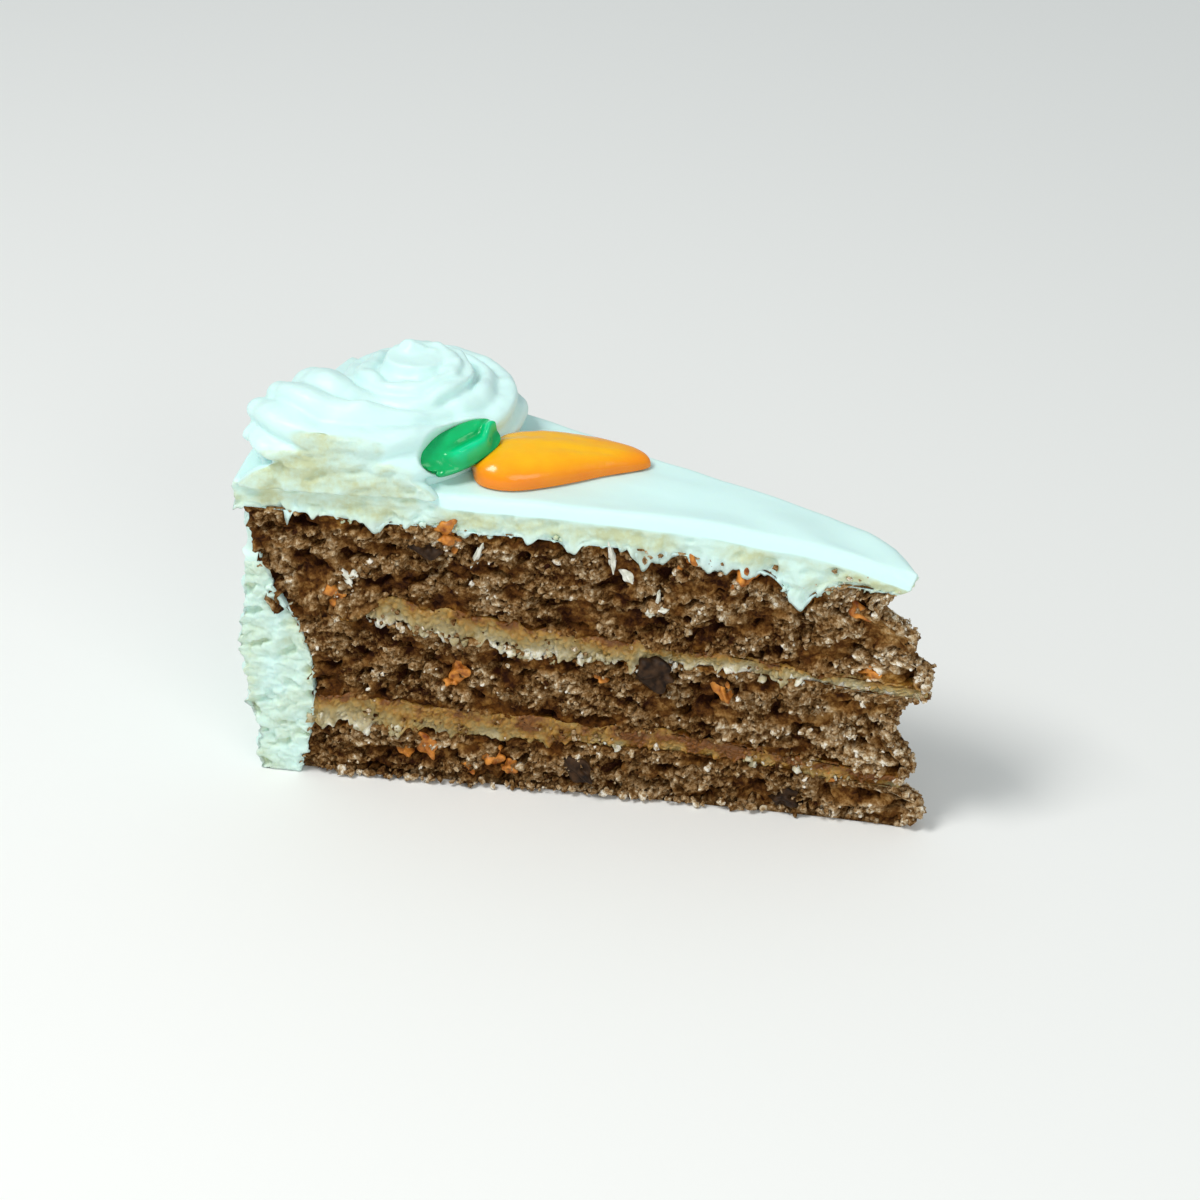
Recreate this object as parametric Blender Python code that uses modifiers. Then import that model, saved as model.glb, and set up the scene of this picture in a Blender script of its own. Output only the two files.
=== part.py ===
"""A slice of three-layer carrot cake with two fillings, an icing coat, a piped swirl and a piped carrot.

The slice is a wedge that stands on its base. Its tip points along +X, its rim is at -X and its two cuts
run along the sides. The origin is the middle of the base of the bounding box. Lengths are written in
millimetres and become metres where a mesh is made, +Z up.
"""

import math

import bmesh
import bpy
from mathutils import Matrix, Vector, noise

MM = 0.001

# Driving sizes of the slice. Distances r run from the tip of the wedge towards the rim.
SLICE_ANGLE = math.radians(24.4)
TIP_X = 64.1
GAP = 0.3
TIP_WIDTH = 1.2
TIP_FADE = 12.0
LONG_PARTS = 27
ACROSS_PARTS = 6

# Heights of the faces between the layers, read at these distances from the tip.
STATIONS = (0.0, 12.0, 42.0, 72.0, 102.0, 127.0)
BOTTOM_TOP = (8.5, 9.0, 12.0, 11.5, 12.0, 12.5)
LOWER_FILLING_TOP = (11.5, 12.3, 15.4, 16.5, 18.0, 18.3)
MIDDLE_TOP = (30.5, 31.0, 32.0, 32.0, 36.4, 38.5)
UPPER_FILLING_TOP = (33.0, 33.5, 35.5, 37.3, 40.8, 41.5)
CAKE_TOP = (52.6, 54.0, 57.5, 58.5, 59.9, 60.6)
ICING_TOP = (57.0, 60.4, 64.6, 65.6, 66.2, 66.4)

# Outlines against the height: how far the tip stands out, and how far the rim lies from the tip. The
# back bulge is how much wider the slice is behind its tip, against the distance from the tip.
TIP_REACH = (
    (0.0, 0.5), (4.0, 4.0), (7.0, 3.0), (8.3, -0.9), (11.0, 0.0), (14.0, 1.9), (20.0, -2.9),
    (26.0, -2.1), (29.0, 0.0), (31.0, 4.2), (37.0, 4.2), (39.0, -0.6), (44.0, 1.1), (47.5, -6.5),
    (51.0, -5.2), (52.6, -3.0), (54.5, 0.0), (57.5, 1.0),
)
BACK_BULGE = (
    (0.0, 0.8), (3.0, 3.0), (6.0, 4.6), (12.0, 5.4), (20.0, 5.0), (30.0, 3.2), (42.0, 0.8), (55.0, 0.0),
)
CAKE_RIM = (
    (0.0, 121.4), (9.0, 119.2), (18.0, 118.0), (27.0, 118.2), (34.0, 119.9), (42.0, 124.4),
    (50.0, 127.8), (60.0, 129.4),
)
SIDE_ICING_RIM = (
    (0.0, 128.8), (3.0, 130.2), (8.5, 129.0), (14.0, 130.7), (23.0, 130.8), (30.4, 132.6),
    (36.0, 131.0), (48.0, 130.6), (60.0, 131.2),
)
TOP_ICING_RIM = 131.4
TOP_ICING_EDGE = 2.4
BACK_EDGE_SHARE = 0.45
SQUARE_EDGE = (88.0, 97.0)
SIDE_ICING_FILM = 0.9
BARE_RIM_TOP = 48.5
BARE_RIM_SHARE = 0.22

# A smear of icing hangs over the crumb of the front cut here.
DRIP_AT = 20.5
DRIP_WIDTH = 5.2
DRIP_DROP = 4.4

# The piped swirl is one fluted rope. Each station is an angle in degrees, a distance from the swirl's
# middle, a height over its seat, a radius of the rope and how much wider than high the rope lies.
SWIRL_X = -101.5
SWIRL_Y = 2.5
SWIRL_SEAT = 66.2
SWIRL_CLEAR = (25.0, 31.0)
SWIRL_ROPE = (
    (210.0, 25.4, 5.2, 2.5, 1.4), (212.0, 25.0, 6.2, 7.4, 1.4), (217.0, 24.0, 7.0, 9.4, 1.38),
    (237.0, 20.6, 6.0, 10.2, 1.25), (265.0, 16.4, 4.8, 9.8, 1.1), (310.0, 10.8, 4.2, 8.3, 1.0),
    (368.0, 11.6, 4.4, 8.6, 1.0), (414.0, 12.8, 4.4, 8.0, 1.0), (456.0, 13.2, 4.6, 7.8, 1.0),
    (498.0, 12.4, 5.4, 7.6, 1.0), (538.0, 10.8, 6.8, 7.5, 1.0), (589.0, 9.2, 8.4, 7.3, 1.0),
    (655.0, 6.6, 9.4, 6.8, 1.0), (732.0, 5.2, 11.0, 6.0, 1.0), (799.0, 4.8, 12.8, 5.2, 1.0),
    (840.0, 4.6, 14.8, 3.8, 1.0), (875.0, 4.7, 18.2, 1.6, 1.0),
)
SWIRL_FLUTES = 9
FLUTE_DEPTH = 0.2
FLUTE_POINTS = 6
ROPE_RINGS = 96
SWIRL_CORE_FOOT = 12.0
SWIRL_CORE_TOP = 5.5
SWIRL_CORE_HEIGHT = 18.0
SWIRL_CORE_SHIFT = (-1.8, 0.9)
CUT_TIP = 1.5
SWIRL_FOOT_PLACE = (-108.5, -22.8, 60.4)
SWIRL_FOOT_SIZE = (22.0, 7.4, 12.6)

# The piped carrot, from its blunt end by the leaf to its point.
CARROT_BLUNT_END = (-86.8, -7.8)
CARROT_POINT = (-55.8, 8.0)
CARROT_WIDTH = 17.6
CARROT_HEIGHT = 5.8
FRONT_CROWD = 1.75
BACK_CROWD = 1.15
FRONT_TAPER = 0.5
BACK_TAPER = 0.14
CARROT_ROUNDNESS = 0.62

# The piped leaf, a ribbon with a roll along its front and a flatter back lobe, which leans on the swirl.
LEAF_CENTRE = (-88.5, -9.8, 72.1)
LEAF_LENGTH = 16.4
LEAF_WIDTH = 8.4
LEAF_THICKNESS = 2.2
LEAF_TURN = math.radians(50.0)
LEAF_RISE = math.radians(15.0)
LEAF_TILT = math.radians(38.0)
LEAF_ROLL = 1.9
BACK_LOBE = 0.9
LEAF_CREASE = 0.9
LEAF_SKEW = 1.8
LEAF_HEADROOM = 1.8

# Pieces that show in the crumb of the front cut: distance from the tip, height and length.
RAISINS = ((94.0, 54.6, 6.0), (47.5, 35.6, 5.2), (23.8, 3.4, 5.4), (64.0, 6.2, 5.6))
CARROT_SHREDS = (
    (91.5, 59.5, 7.0), (112.5, 42.0, 5.0), (88.6, 26.0, 6.0), (95.0, 8.6, 6.2), (82.0, 6.8, 5.4),
    (42.6, 57.0, 5.0), (32.0, 53.4, 5.0), (7.6, 47.4, 5.6), (9.6, 34.6, 5.4), (36.0, 27.0, 4.8),
)
COCONUT_STRANDS = ((84.0, 53.6, 6.0), (110.0, 46.4, 5.6), (48.6, 47.2, 6.4), (57.6, 55.2, 5.6))

collection = bpy.data.collections.new("carrot_cake_slice")
cutters = bpy.data.collections.new("cutters")


def clear_scene():
    for thing in list(bpy.data.objects):
        bpy.data.objects.remove(thing, do_unlink=True)
    bpy.context.scene.collection.children.link(collection)
    bpy.context.scene.collection.children.link(cutters)
    cutters.hide_render = True


def food_material(name, rgb, roughness):
    """A Principled material of one colour, given in linear light."""
    material = bpy.data.materials.new(name)
    material.use_nodes = True
    shader = material.node_tree.nodes["Principled BSDF"]
    shader.inputs["Base Color"].default_value = (*rgb, 1.0)
    shader.inputs["Roughness"].default_value = roughness
    shader.inputs["Metallic"].default_value = 0.0
    return material


def new_object(name, bm, material, home=collection):
    mesh = bpy.data.meshes.new(name)
    bm.normal_update()
    bmesh.ops.recalc_face_normals(bm, faces=bm.faces)
    bm.to_mesh(mesh)
    bm.free()
    mesh.shade_smooth()
    mesh.set_sharp_from_angle(angle=math.radians(40.0))
    thing = bpy.data.objects.new(name, mesh)
    thing.data.materials.append(material)
    home.objects.link(thing)
    return thing


def straight_between(points, at):
    """Reads an outline of (position, value) pairs at a position, with straight runs between them."""
    if at <= points[0][0]:
        return points[0][1]
    for (low, first), (high, second) in zip(points, points[1:]):
        if at <= high:
            return first + (second - first) * (at - low) / (high - low)
    return points[-1][1]


def smooth_between(places, values, at):
    """Reads a curve through (place, value) pairs at a position, with smooth tangents."""
    last = len(places) - 1
    i = 0
    while i < last - 1 and at > places[i + 1]:
        i += 1
    at = min(max(at, places[0]), places[last])

    def slope(k):
        before = max(k - 1, 0)
        after = min(k + 1, last)
        return (values[after] - values[before]) / (places[after] - places[before])

    span = places[i + 1] - places[i]
    t = (at - places[i]) / span
    return (
        (2 * t**3 - 3 * t**2 + 1) * values[i]
        + (t**3 - 2 * t**2 + t) * span * slope(i)
        + (3 * t**2 - 2 * t**3) * values[i + 1]
        + (t**3 - t**2) * span * slope(i + 1)
    )


def smooth_step(low, high, at):
    t = min(max((at - low) / (high - low), 0.0), 1.0)
    return t * t * (3.0 - 2.0 * t)


def face_height(stations, r, side):
    """Height of a face between layers. side runs from -1 on the front cut to 1 on the back cut."""
    height = smooth_between(STATIONS, stations, r)
    seed = stations[-1]
    front = 0.8 * noise.noise(Vector((r / 11.0, 0.0, seed)))
    back = 0.8 * noise.noise(Vector((r / 11.0, 9.0, seed)))
    if stations is CAKE_TOP:
        front -= DRIP_DROP * math.exp(-(((r - DRIP_AT) / DRIP_WIDTH) ** 2))
    share = (side + 1.0) / 2.0
    return height + front * (1.0 - share) + back * share


def swirl_distance(r, angle):
    """Distance of a place on the slice from the swirl's middle."""
    return math.hypot(-r * math.cos(angle) - SWIRL_X, r * math.sin(angle) - SWIRL_Y)


def icing_height(r, side):
    """Height of the icing's top, gently uneven, and level under the swirl."""
    height = smooth_between(STATIONS, ICING_TOP, r)
    height += 0.7 * noise.noise(Vector((r / 16.0, side * 1.3, 4.0)))
    near_swirl = 1.0 - smooth_step(*SWIRL_CLEAR, swirl_distance(r, side * SLICE_ANGLE / 2))
    return height + (SWIRL_SEAT - height) * near_swirl


def crag(r, z, side, depth):
    """How far a cut face stands out at a place, from large crumbs and holes."""
    coarse = noise.noise(Vector((r / 7.0, z / 5.0, 20.0 * side)))
    fine = noise.noise(Vector((r / 3.0, z / 2.5, 20.0 * side + 5.0)))
    return depth * (coarse + 0.5 * fine)


def on_wedge(r, side, z, depth):
    """A place in the wedge as a point in millimetres: r from the tip, side from -1 to 1, height z."""
    angle = side * SLICE_ANGLE / 2
    fade = math.exp(-r / TIP_FADE)
    x = TIP_X - r * math.cos(angle) + straight_between(TIP_REACH, z) * fade
    y = r * math.sin(angle) + side * TIP_WIDTH * fade
    y += max(side, 0.0) * straight_between(BACK_BULGE, r)
    if abs(side) > 0.99:
        y += math.copysign(crag(r, z, side, depth), side)
    return Vector((x, y, z))


def block(long_parts, across_parts, high_parts):
    """A unit block from 0 to 1 in X and Z and from -1 to 1 in Y, cut into a grid on every side."""
    bm = bmesh.new()
    bmesh.ops.create_cube(bm, size=1.0)
    for axis, parts in enumerate((long_parts, across_parts, high_parts)):
        if parts < 2:
            continue
        along = [
            edge for edge in bm.edges
            if abs((edge.verts[1].co - edge.verts[0].co)[axis]) > 0.5
        ]
        bmesh.ops.subdivide_edges(bm, edges=along, cuts=parts - 1, use_grid_fill=True)
    for vertex in bm.verts:
        u, v, w = vertex.co
        vertex.co = Vector((u + 0.5, 2.0 * v, w + 0.5))
    return bm


def widen(v):
    """Moves the grid lines of a block towards its two sides, where the cuts need more of them."""
    return math.sin(v * math.pi / 2)


def cake_block(name, low, high, high_parts, depth, material):
    """A layer or a filling between two faces, out to the rim of the cake."""
    bm = block(LONG_PARTS, ACROSS_PARTS, high_parts)
    for vertex in bm.verts:
        u, v, w = vertex.co
        side = widen(v)
        # The rim follows the height, and each face keeps half a gap to its neighbour.
        r = u * STATIONS[-1]
        floor = 0.0 if low is None else face_height(low, r, side) + GAP / 2
        ceiling = face_height(high, r, side) - GAP / 2
        z = floor + (ceiling - floor) * w
        r *= straight_between(CAKE_RIM, z) / STATIONS[-1]
        vertex.co = on_wedge(r, side, z, depth) * MM
    return new_object(name, bm, material)


def icing_top_block(material):
    """The coat on top: uneven above, rounded over its edges, and lying on the top layer."""
    bm = block(LONG_PARTS, ACROSS_PARTS, 3)
    for vertex in bm.verts:
        u, v, w = vertex.co
        side = widen(v)
        r = u * STATIONS[-1]
        floor = face_height(CAKE_TOP, r, side) + GAP / 2
        floor_rim = straight_between(CAKE_RIM, floor) / STATIONS[-1]
        to_rim = smooth_step(1.0 - 1.0 / LONG_PARTS, 1.0, u)
        reach = r * floor_rim + (TOP_ICING_RIM - STATIONS[-1] * floor_rim) * to_rim
        half_width = reach * math.sin(SLICE_ANGLE / 2) + TIP_WIDTH
        # The front edge is square beside the swirl, where the knife went through both.
        square = 1.0 - 0.8 * smooth_step(*SQUARE_EDGE, reach)
        edge = TOP_ICING_EDGE * (BACK_EDGE_SHARE if side > 0.0 else square)
        to_edge = min(half_width * (1.0 - abs(side)), TOP_ICING_RIM - reach, reach + edge / 2)
        rounding = max(1.0 - max(to_edge, 0.0) / edge, 0.0) ** 2 * edge
        ceiling = icing_height(reach, side) - rounding
        z = floor + (ceiling - floor) * w
        vertex.co = on_wedge(reach, side, z, 0.7) * MM
    return new_object("icing_top", bm, material)


def icing_side_block(material):
    """The coat on the rim, thick below and a film above. At the front cut its film has come away."""
    bm = block(1, 10, 14)
    for vertex in bm.verts:
        u, v, w = vertex.co
        side = widen(v)
        bare = 1.0 - smooth_step(0.0, BARE_RIM_SHARE, (side + 1.0) / 2.0)
        full_top = face_height(CAKE_TOP, STATIONS[-1], side) - GAP
        top = full_top - (full_top - BARE_RIM_TOP) * bare
        z = top * w
        inner = straight_between(CAKE_RIM, z) + 2.0 * GAP
        swipe = 0.5 * noise.noise(Vector((side * 2.5, z / 9.0, 7.0)))
        outer = max(straight_between(SIDE_ICING_RIM, z) + swipe, inner + SIDE_ICING_FILM)
        vertex.co = on_wedge(inner + (outer - inner) * u, side, z, 0.7) * MM
    return new_object("icing_side", bm, material)


def rope_station(degrees):
    """Middle of the rope, its radius and how much it is widened, at an angle along its spiral."""
    places, *columns = zip(*SWIRL_ROPE)
    distance, height, radius, widening = (smooth_between(places, column, degrees) for column in columns)
    turn = math.radians(degrees)
    x = TIP_X + SWIRL_X + distance * math.cos(turn)
    y = SWIRL_Y + distance * math.sin(turn)
    return Vector((x, y, SWIRL_SEAT + height)), radius, widening


def add_swirl_rope(bm):
    """The rope's spiral: it starts at the rim, goes round once and winds up to a small peak."""
    first, last = SWIRL_ROPE[0][0], SWIRL_ROPE[-1][0]
    count = SWIRL_FLUTES * FLUTE_POINTS
    rings = []
    for i in range(ROPE_RINGS + 1):
        # The rings crowd together at the start, where the rope swells fast.
        share = (i / ROPE_RINGS) ** 1.3
        degrees = first + (last - first) * share
        middle, radius, widening = rope_station(degrees)
        ahead = rope_station(min(degrees + 1.0, last))[0]
        behind = rope_station(max(degrees - 1.0, first))[0]
        run = (ahead - behind).normalized()
        sideways = run.cross(Vector((0.0, 0.0, 1.0))).normalized()
        upwards = sideways.cross(run)
        ring = []
        for k in range(count):
            turn = math.tau * k / count
            reach = radius * (1.0 - FLUTE_DEPTH * (1.0 - abs(math.cos(turn * SWIRL_FLUTES / 2))))
            place = middle + sideways * reach * widening * math.cos(turn) + upwards * reach * math.sin(turn)
            ring.append(bm.verts.new(place * MM))
        rings.append(ring)
    for near, far in zip(rings, rings[1:]):
        for k in range(count):
            after = (k + 1) % count
            bm.faces.new((near[k], near[after], far[after], far[k]))
    bm.faces.new(rings[0])
    bm.faces.new(rings[-1])


def wedge_cutter():
    """The space above the icing between the planes of the two cuts."""
    bm = block(1, 1, 1)
    for vertex in bm.verts:
        u, v, w = vertex.co
        r = u * (160.0 + CUT_TIP)
        z = SWIRL_SEAT + 1.5 * GAP + 40.0 * w
        y = v * (r * math.tan(SLICE_ANGLE / 2) + TIP_WIDTH / 2)
        vertex.co = Vector((TIP_X + CUT_TIP - r, y, z)) * MM
    cutter = new_object("wedge_cutter", bm, bpy.data.materials["Icing"], cutters)
    cutter.display_type = "WIRE"
    cutter.hide_render = True
    return cutter


def room_for(thing, lift=0.0):
    """A cutter a little larger all round than a piece, raised by the lift."""
    bm = bmesh.new()
    bm.from_mesh(thing.data)
    bm.normal_update()
    normals = [vertex.normal.copy() for vertex in bm.verts]
    for vertex, normal in zip(bm.verts, normals):
        vertex.co += (normal * 1.5 * GAP + Vector((0.0, 0.0, lift))) * MM
    room = new_object(thing.name + "_room", bm, thing.data.materials[0], cutters)
    room.display_type = "WIRE"
    room.hide_render = True
    return room


def cut_away(thing, cutter):
    cut = thing.modifiers.new(cutter.name, "BOOLEAN")
    cut.operation = "DIFFERENCE"
    cut.object = cutter


def piped_swirl(material):
    """The rope and a core inside it, made one skin, cut by the two planes of the slice."""
    bm = bmesh.new()
    add_swirl_rope(bm)
    core_place = Vector((TIP_X + SWIRL_X, SWIRL_Y, SWIRL_SEAT - 1.0))
    core_place += Vector((*SWIRL_CORE_SHIFT, SWIRL_CORE_HEIGHT / 2))
    bmesh.ops.create_cone(
        bm, cap_ends=True, segments=24, radius1=SWIRL_CORE_FOOT * MM, radius2=SWIRL_CORE_TOP * MM,
        depth=SWIRL_CORE_HEIGHT * MM, matrix=Matrix.Translation(core_place * MM),
    )
    # The icing spreads along the front cut and into its corner with the rim.
    foot_matrix = (
        Matrix.Translation((Vector(SWIRL_FOOT_PLACE) + Vector((TIP_X, 0.0, 0.0))) * MM)
        @ Matrix.Rotation(SLICE_ANGLE / 2, 4, "Z")
        @ Matrix.Diagonal((*(Vector(SWIRL_FOOT_SIZE) * MM), 1.0))
    )
    bmesh.ops.create_uvsphere(bm, u_segments=32, v_segments=16, radius=1.0, matrix=foot_matrix)
    swirl = new_object("piped_swirl", bm, material)
    skin = swirl.modifiers.new("one_skin", "REMESH")
    skin.mode = "VOXEL"
    skin.voxel_size = 1.1 * MM
    cut = swirl.modifiers.new("slice_cuts", "BOOLEAN")
    cut.operation = "INTERSECT"
    cut.object = wedge_cutter()
    fewer = swirl.modifiers.new("fewer_faces", "DECIMATE")
    fewer.ratio = 0.26
    return swirl


def piped_carrot(material):
    """A teardrop of piped icing that lies on the coat, blunt by the leaf and drawn out to a point."""
    bm = bmesh.new()
    bmesh.ops.create_uvsphere(bm, u_segments=20, v_segments=10, radius=1.0)
    start = Vector(CARROT_BLUNT_END)
    run = Vector(CARROT_POINT) - start
    across = Vector((-run.y, run.x)).normalized()
    for vertex in bm.verts:
        along, width, height = vertex.co.y, vertex.co.x, vertex.co.z
        # The front side is widest near the blunt end, and the back side stays wide almost to the point.
        back_share = 0.5 + 0.5 * width / max(math.sqrt(max(1.0 - along**2, 0.0)), 0.001)
        t = max((along + 1.0) / 2.0, 0.0) ** (FRONT_CROWD + (BACK_CROWD - FRONT_CROWD) * back_share)
        taper = 1.0 - (FRONT_TAPER + (BACK_TAPER - FRONT_TAPER) * back_share) * smooth_step(0.1, 0.9, t)
        place = start + run * t + across * width * CARROT_WIDTH / 2 * taper
        r = math.hypot(place.x, place.y)
        side = math.atan2(place.y, -place.x) / (SLICE_ANGLE / 2)
        seat = icing_height(r, side) + 1.6 * GAP
        lift = CARROT_HEIGHT * (0.3 + 0.7 * taper) * max(height, 0.0) ** CARROT_ROUNDNESS
        vertex.co = Vector((TIP_X + place.x, place.y, seat + 0.7 + lift + 0.7 * min(height, 0.0))) * MM
    return new_object("piped_carrot", bm, material)


def piped_leaf(material):
    """A ribbon with a roll, a flat lobe and a crease between them, raised to a crest at its far end."""
    bm = block(14, 10, 1)
    lay = (
        Matrix.Translation(Vector(LEAF_CENTRE))
        @ Matrix.Rotation(LEAF_TURN, 4, "Z")
        @ Matrix.Rotation(-LEAF_RISE, 4, "Y")
        @ Matrix.Rotation(LEAF_TILT, 4, "X")
    )
    for vertex in bm.verts:
        u, v, w = vertex.co
        s = 2.0 * u - 1.0
        end_width = 0.5 - 0.12 * s
        half_width = LEAF_WIDTH / 2 * (end_width + (1.0 - end_width) * math.sqrt(max(1.0 - s * s, 0.0)))
        # The roll's far end hooks back over the broad lobe.
        roll_middle = -0.45 + 0.75 * smooth_step(0.45, 1.0, s)
        roll = LEAF_ROLL * math.exp(-(((v - roll_middle) / 0.36) ** 2)) * smooth_step(-0.75, -0.35, s)
        back = BACK_LOBE * max(1.0 - (v - 0.3) ** 2, 0.0)
        crease = LEAF_CREASE * math.exp(-(((v - roll_middle - 0.5) / 0.2) ** 2))
        crease *= smooth_step(-0.5, 0.2, s) * smooth_step(1.0, 0.8, s)
        crest = 0.9 * math.exp(-(((s - 0.85) / 0.22) ** 2)) * math.exp(-(((v - 0.4) / 0.5) ** 2))
        lobes = (roll + back) * (1.0 - 0.5 * s * s) - crease + crest
        thickness = LEAF_THICKNESS * (1.0 - 0.5 * max(abs(s), abs(v)) ** 3)
        # The back lobe reaches further at the near end, where the ribbon started.
        along = s * LEAF_LENGTH / 2 - LEAF_SKEW * v * (1.0 - s) / 2
        place = lay @ Vector((along, v * half_width, (w - 0.5) * thickness + lobes * w))
        vertex.co = Vector((TIP_X + place.x, place.y, place.z)) * MM
    bmesh.ops.triangulate(bm, faces=bm.faces)
    return new_object("piped_leaf", bm, material)


def crumb_piece(name, r, z, side, length, width, turn, depth):
    """One raisin, shred or strand that stands out of a cut face, as a low round lump."""
    bm = bmesh.new()
    bmesh.ops.create_icosphere(bm, subdivisions=2, radius=0.5)
    centre = on_wedge(r, side, z, depth) * MM
    facing = Matrix.Rotation(side * SLICE_ANGLE / 2, 4, "Z")
    shape = Matrix.Diagonal(Vector((length * MM, 1.8 * MM, width * MM, 1.0)))
    matrix = Matrix.Translation(centre) @ facing @ Matrix.Rotation(turn, 4, "Y") @ shape
    bmesh.ops.transform(bm, matrix=matrix, verts=bm.verts)
    return new_object(name, bm, bpy.data.materials["Crumb"])


def fuse_pieces(layer, low, high, depth):
    """Joins the raisins, shreds and strands that lie inside this layer's height to it."""
    pieces = bpy.data.collections.new("pieces")
    kinds = (("raisin", RAISINS, 0.8, 0.4), ("shred", CARROT_SHREDS, 0.45, 0.8),
             ("strand", COCONUT_STRANDS, 0.3, 0.15))
    for kind, places, slimness, turn in kinds:
        for number, (r, z, length) in enumerate(places):
            for side in (-1.0, 1.0):
                # On the back cut the same pieces lie nearer the rim.
                distance = r if side < 0 else 124.0 - 0.9 * r
                margin = length * slimness / 2 + 1.0
                floor = 0.0 if low is None else face_height(low, distance, side)
                ceiling = face_height(high, distance, side)
                if not floor + margin < z < ceiling - margin:
                    continue
                lean = turn * (1 if number % 2 else -1)
                piece = crumb_piece(
                    f"{kind}_{number}", distance, z, side, length, length * slimness, lean, depth
                )
                collection.objects.unlink(piece)
                pieces.objects.link(piece)
    union = layer.modifiers.new("crumb_pieces", "BOOLEAN")
    union.operation = "UNION"
    union.operand_type = "COLLECTION"
    union.collection = pieces
    bpy.context.view_layer.update()
    graph = bpy.context.evaluated_depsgraph_get()
    joined = bpy.data.meshes.new_from_object(layer.evaluated_get(graph))
    layer.modifiers.clear()
    layer.data = joined
    for piece in list(pieces.objects):
        bpy.data.objects.remove(piece, do_unlink=True)
    bpy.data.collections.remove(pieces)


def settle_on_origin():
    """Moves every solid so that the middle of the whole's base is the origin."""
    bpy.context.view_layer.update()
    graph = bpy.context.evaluated_depsgraph_get()
    corners = []
    for thing in collection.objects:
        mesh = thing.evaluated_get(graph).to_mesh()
        corners += [vertex.co.copy() for vertex in mesh.vertices]
    low = [min(corner[axis] for corner in corners) for axis in range(3)]
    high = [max(corner[axis] for corner in corners) for axis in range(3)]
    offset = Vector((-(low[0] + high[0]) / 2, -(low[1] + high[1]) / 2, -low[2]))
    print("moved by (mm):", [round(value / MM, 3) for value in offset])
    for thing in list(collection.objects) + list(cutters.objects):
        thing.data.transform(Matrix.Translation(offset))


def main():
    clear_scene()
    crumb = food_material("Crumb", (0.115, 0.062, 0.022), 0.9)
    filling = food_material("Filling", (0.28, 0.19, 0.085), 0.7)
    icing = food_material("Icing", (0.80, 0.86, 0.83), 0.45)
    orange = food_material("Orange icing", (0.92, 0.36, 0.01), 0.3)
    green = food_material("Green icing", (0.01, 0.42, 0.12), 0.3)
    bottom = cake_block("cake_layer_bottom", None, BOTTOM_TOP, 4, 1.0, crumb)
    cake_block("filling_lower", BOTTOM_TOP, LOWER_FILLING_TOP, 2, 0.7, filling)
    middle = cake_block("cake_layer_middle", LOWER_FILLING_TOP, MIDDLE_TOP, 4, 1.0, crumb)
    cake_block("filling_upper", MIDDLE_TOP, UPPER_FILLING_TOP, 2, 0.7, filling)
    top = cake_block("cake_layer_top", UPPER_FILLING_TOP, CAKE_TOP, 4, 1.0, crumb)
    icing_top_block(icing)
    icing_side_block(icing)
    swirl = piped_swirl(icing)
    carrot = piped_carrot(orange)
    leaf = piped_leaf(green)
    leaf_room = room_for(leaf)
    cut_away(carrot, leaf_room)
    cut_away(swirl, leaf_room)
    cut_away(swirl, room_for(leaf, LEAF_HEADROOM))
    cut_away(swirl, room_for(carrot))
    fuse_pieces(bottom, None, BOTTOM_TOP, 1.0)
    fuse_pieces(middle, LOWER_FILLING_TOP, MIDDLE_TOP, 1.0)
    fuse_pieces(top, UPPER_FILLING_TOP, CAKE_TOP, 1.0)
    settle_on_origin()


main()
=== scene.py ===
# %% [markdown]
# # A slice of carrot cake
# The real thing is a wedge cut from a three-layer carrot cake. Two sweet fillings lie between the
# layers, white cheese icing covers the top and the rim, and a piped swirl and a small piped carrot
# decorate it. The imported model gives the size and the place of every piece. This lesson dresses each
# of them: a fine mesh with the same outline, with the crumbs, pits and ridges that the model leaves out.

# %% Load the frame and keep its box
import math

import bpy
import numpy as np
from mathutils import Matrix, Vector, noise


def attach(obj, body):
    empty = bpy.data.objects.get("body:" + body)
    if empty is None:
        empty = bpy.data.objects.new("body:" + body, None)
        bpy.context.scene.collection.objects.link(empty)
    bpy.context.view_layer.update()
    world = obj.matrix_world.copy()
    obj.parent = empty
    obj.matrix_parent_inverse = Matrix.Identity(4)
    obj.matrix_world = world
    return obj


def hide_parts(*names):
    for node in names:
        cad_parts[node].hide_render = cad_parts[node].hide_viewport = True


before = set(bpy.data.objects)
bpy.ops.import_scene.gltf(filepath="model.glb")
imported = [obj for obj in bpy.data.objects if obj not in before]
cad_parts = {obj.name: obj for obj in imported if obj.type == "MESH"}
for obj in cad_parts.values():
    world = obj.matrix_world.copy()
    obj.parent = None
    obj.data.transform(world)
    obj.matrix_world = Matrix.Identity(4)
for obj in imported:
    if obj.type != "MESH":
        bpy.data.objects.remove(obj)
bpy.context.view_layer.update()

MM = 0.001
print("nodes:", sorted(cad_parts))

# %% [markdown]
# ## The sizes of the slice
# Every piece of the slice is placed by three numbers. r is the distance from the tip of the wedge, side
# runs from -1 on the front cut to 1 on the back cut, and z is the height. The faces between the layers
# are curves that dip and rise along the slice, because cake is baked and spread by hand. They could be
# read from the solids, but a curve through a few heights is short, exact and smooth at any fineness.

# %% Heights of the faces between the layers, in millimetres
SLICE_ANGLE = math.radians(24.4)
TIP_X = 64.24
TIP_WIDTH = 1.2
TIP_FADE = 12.0

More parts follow.
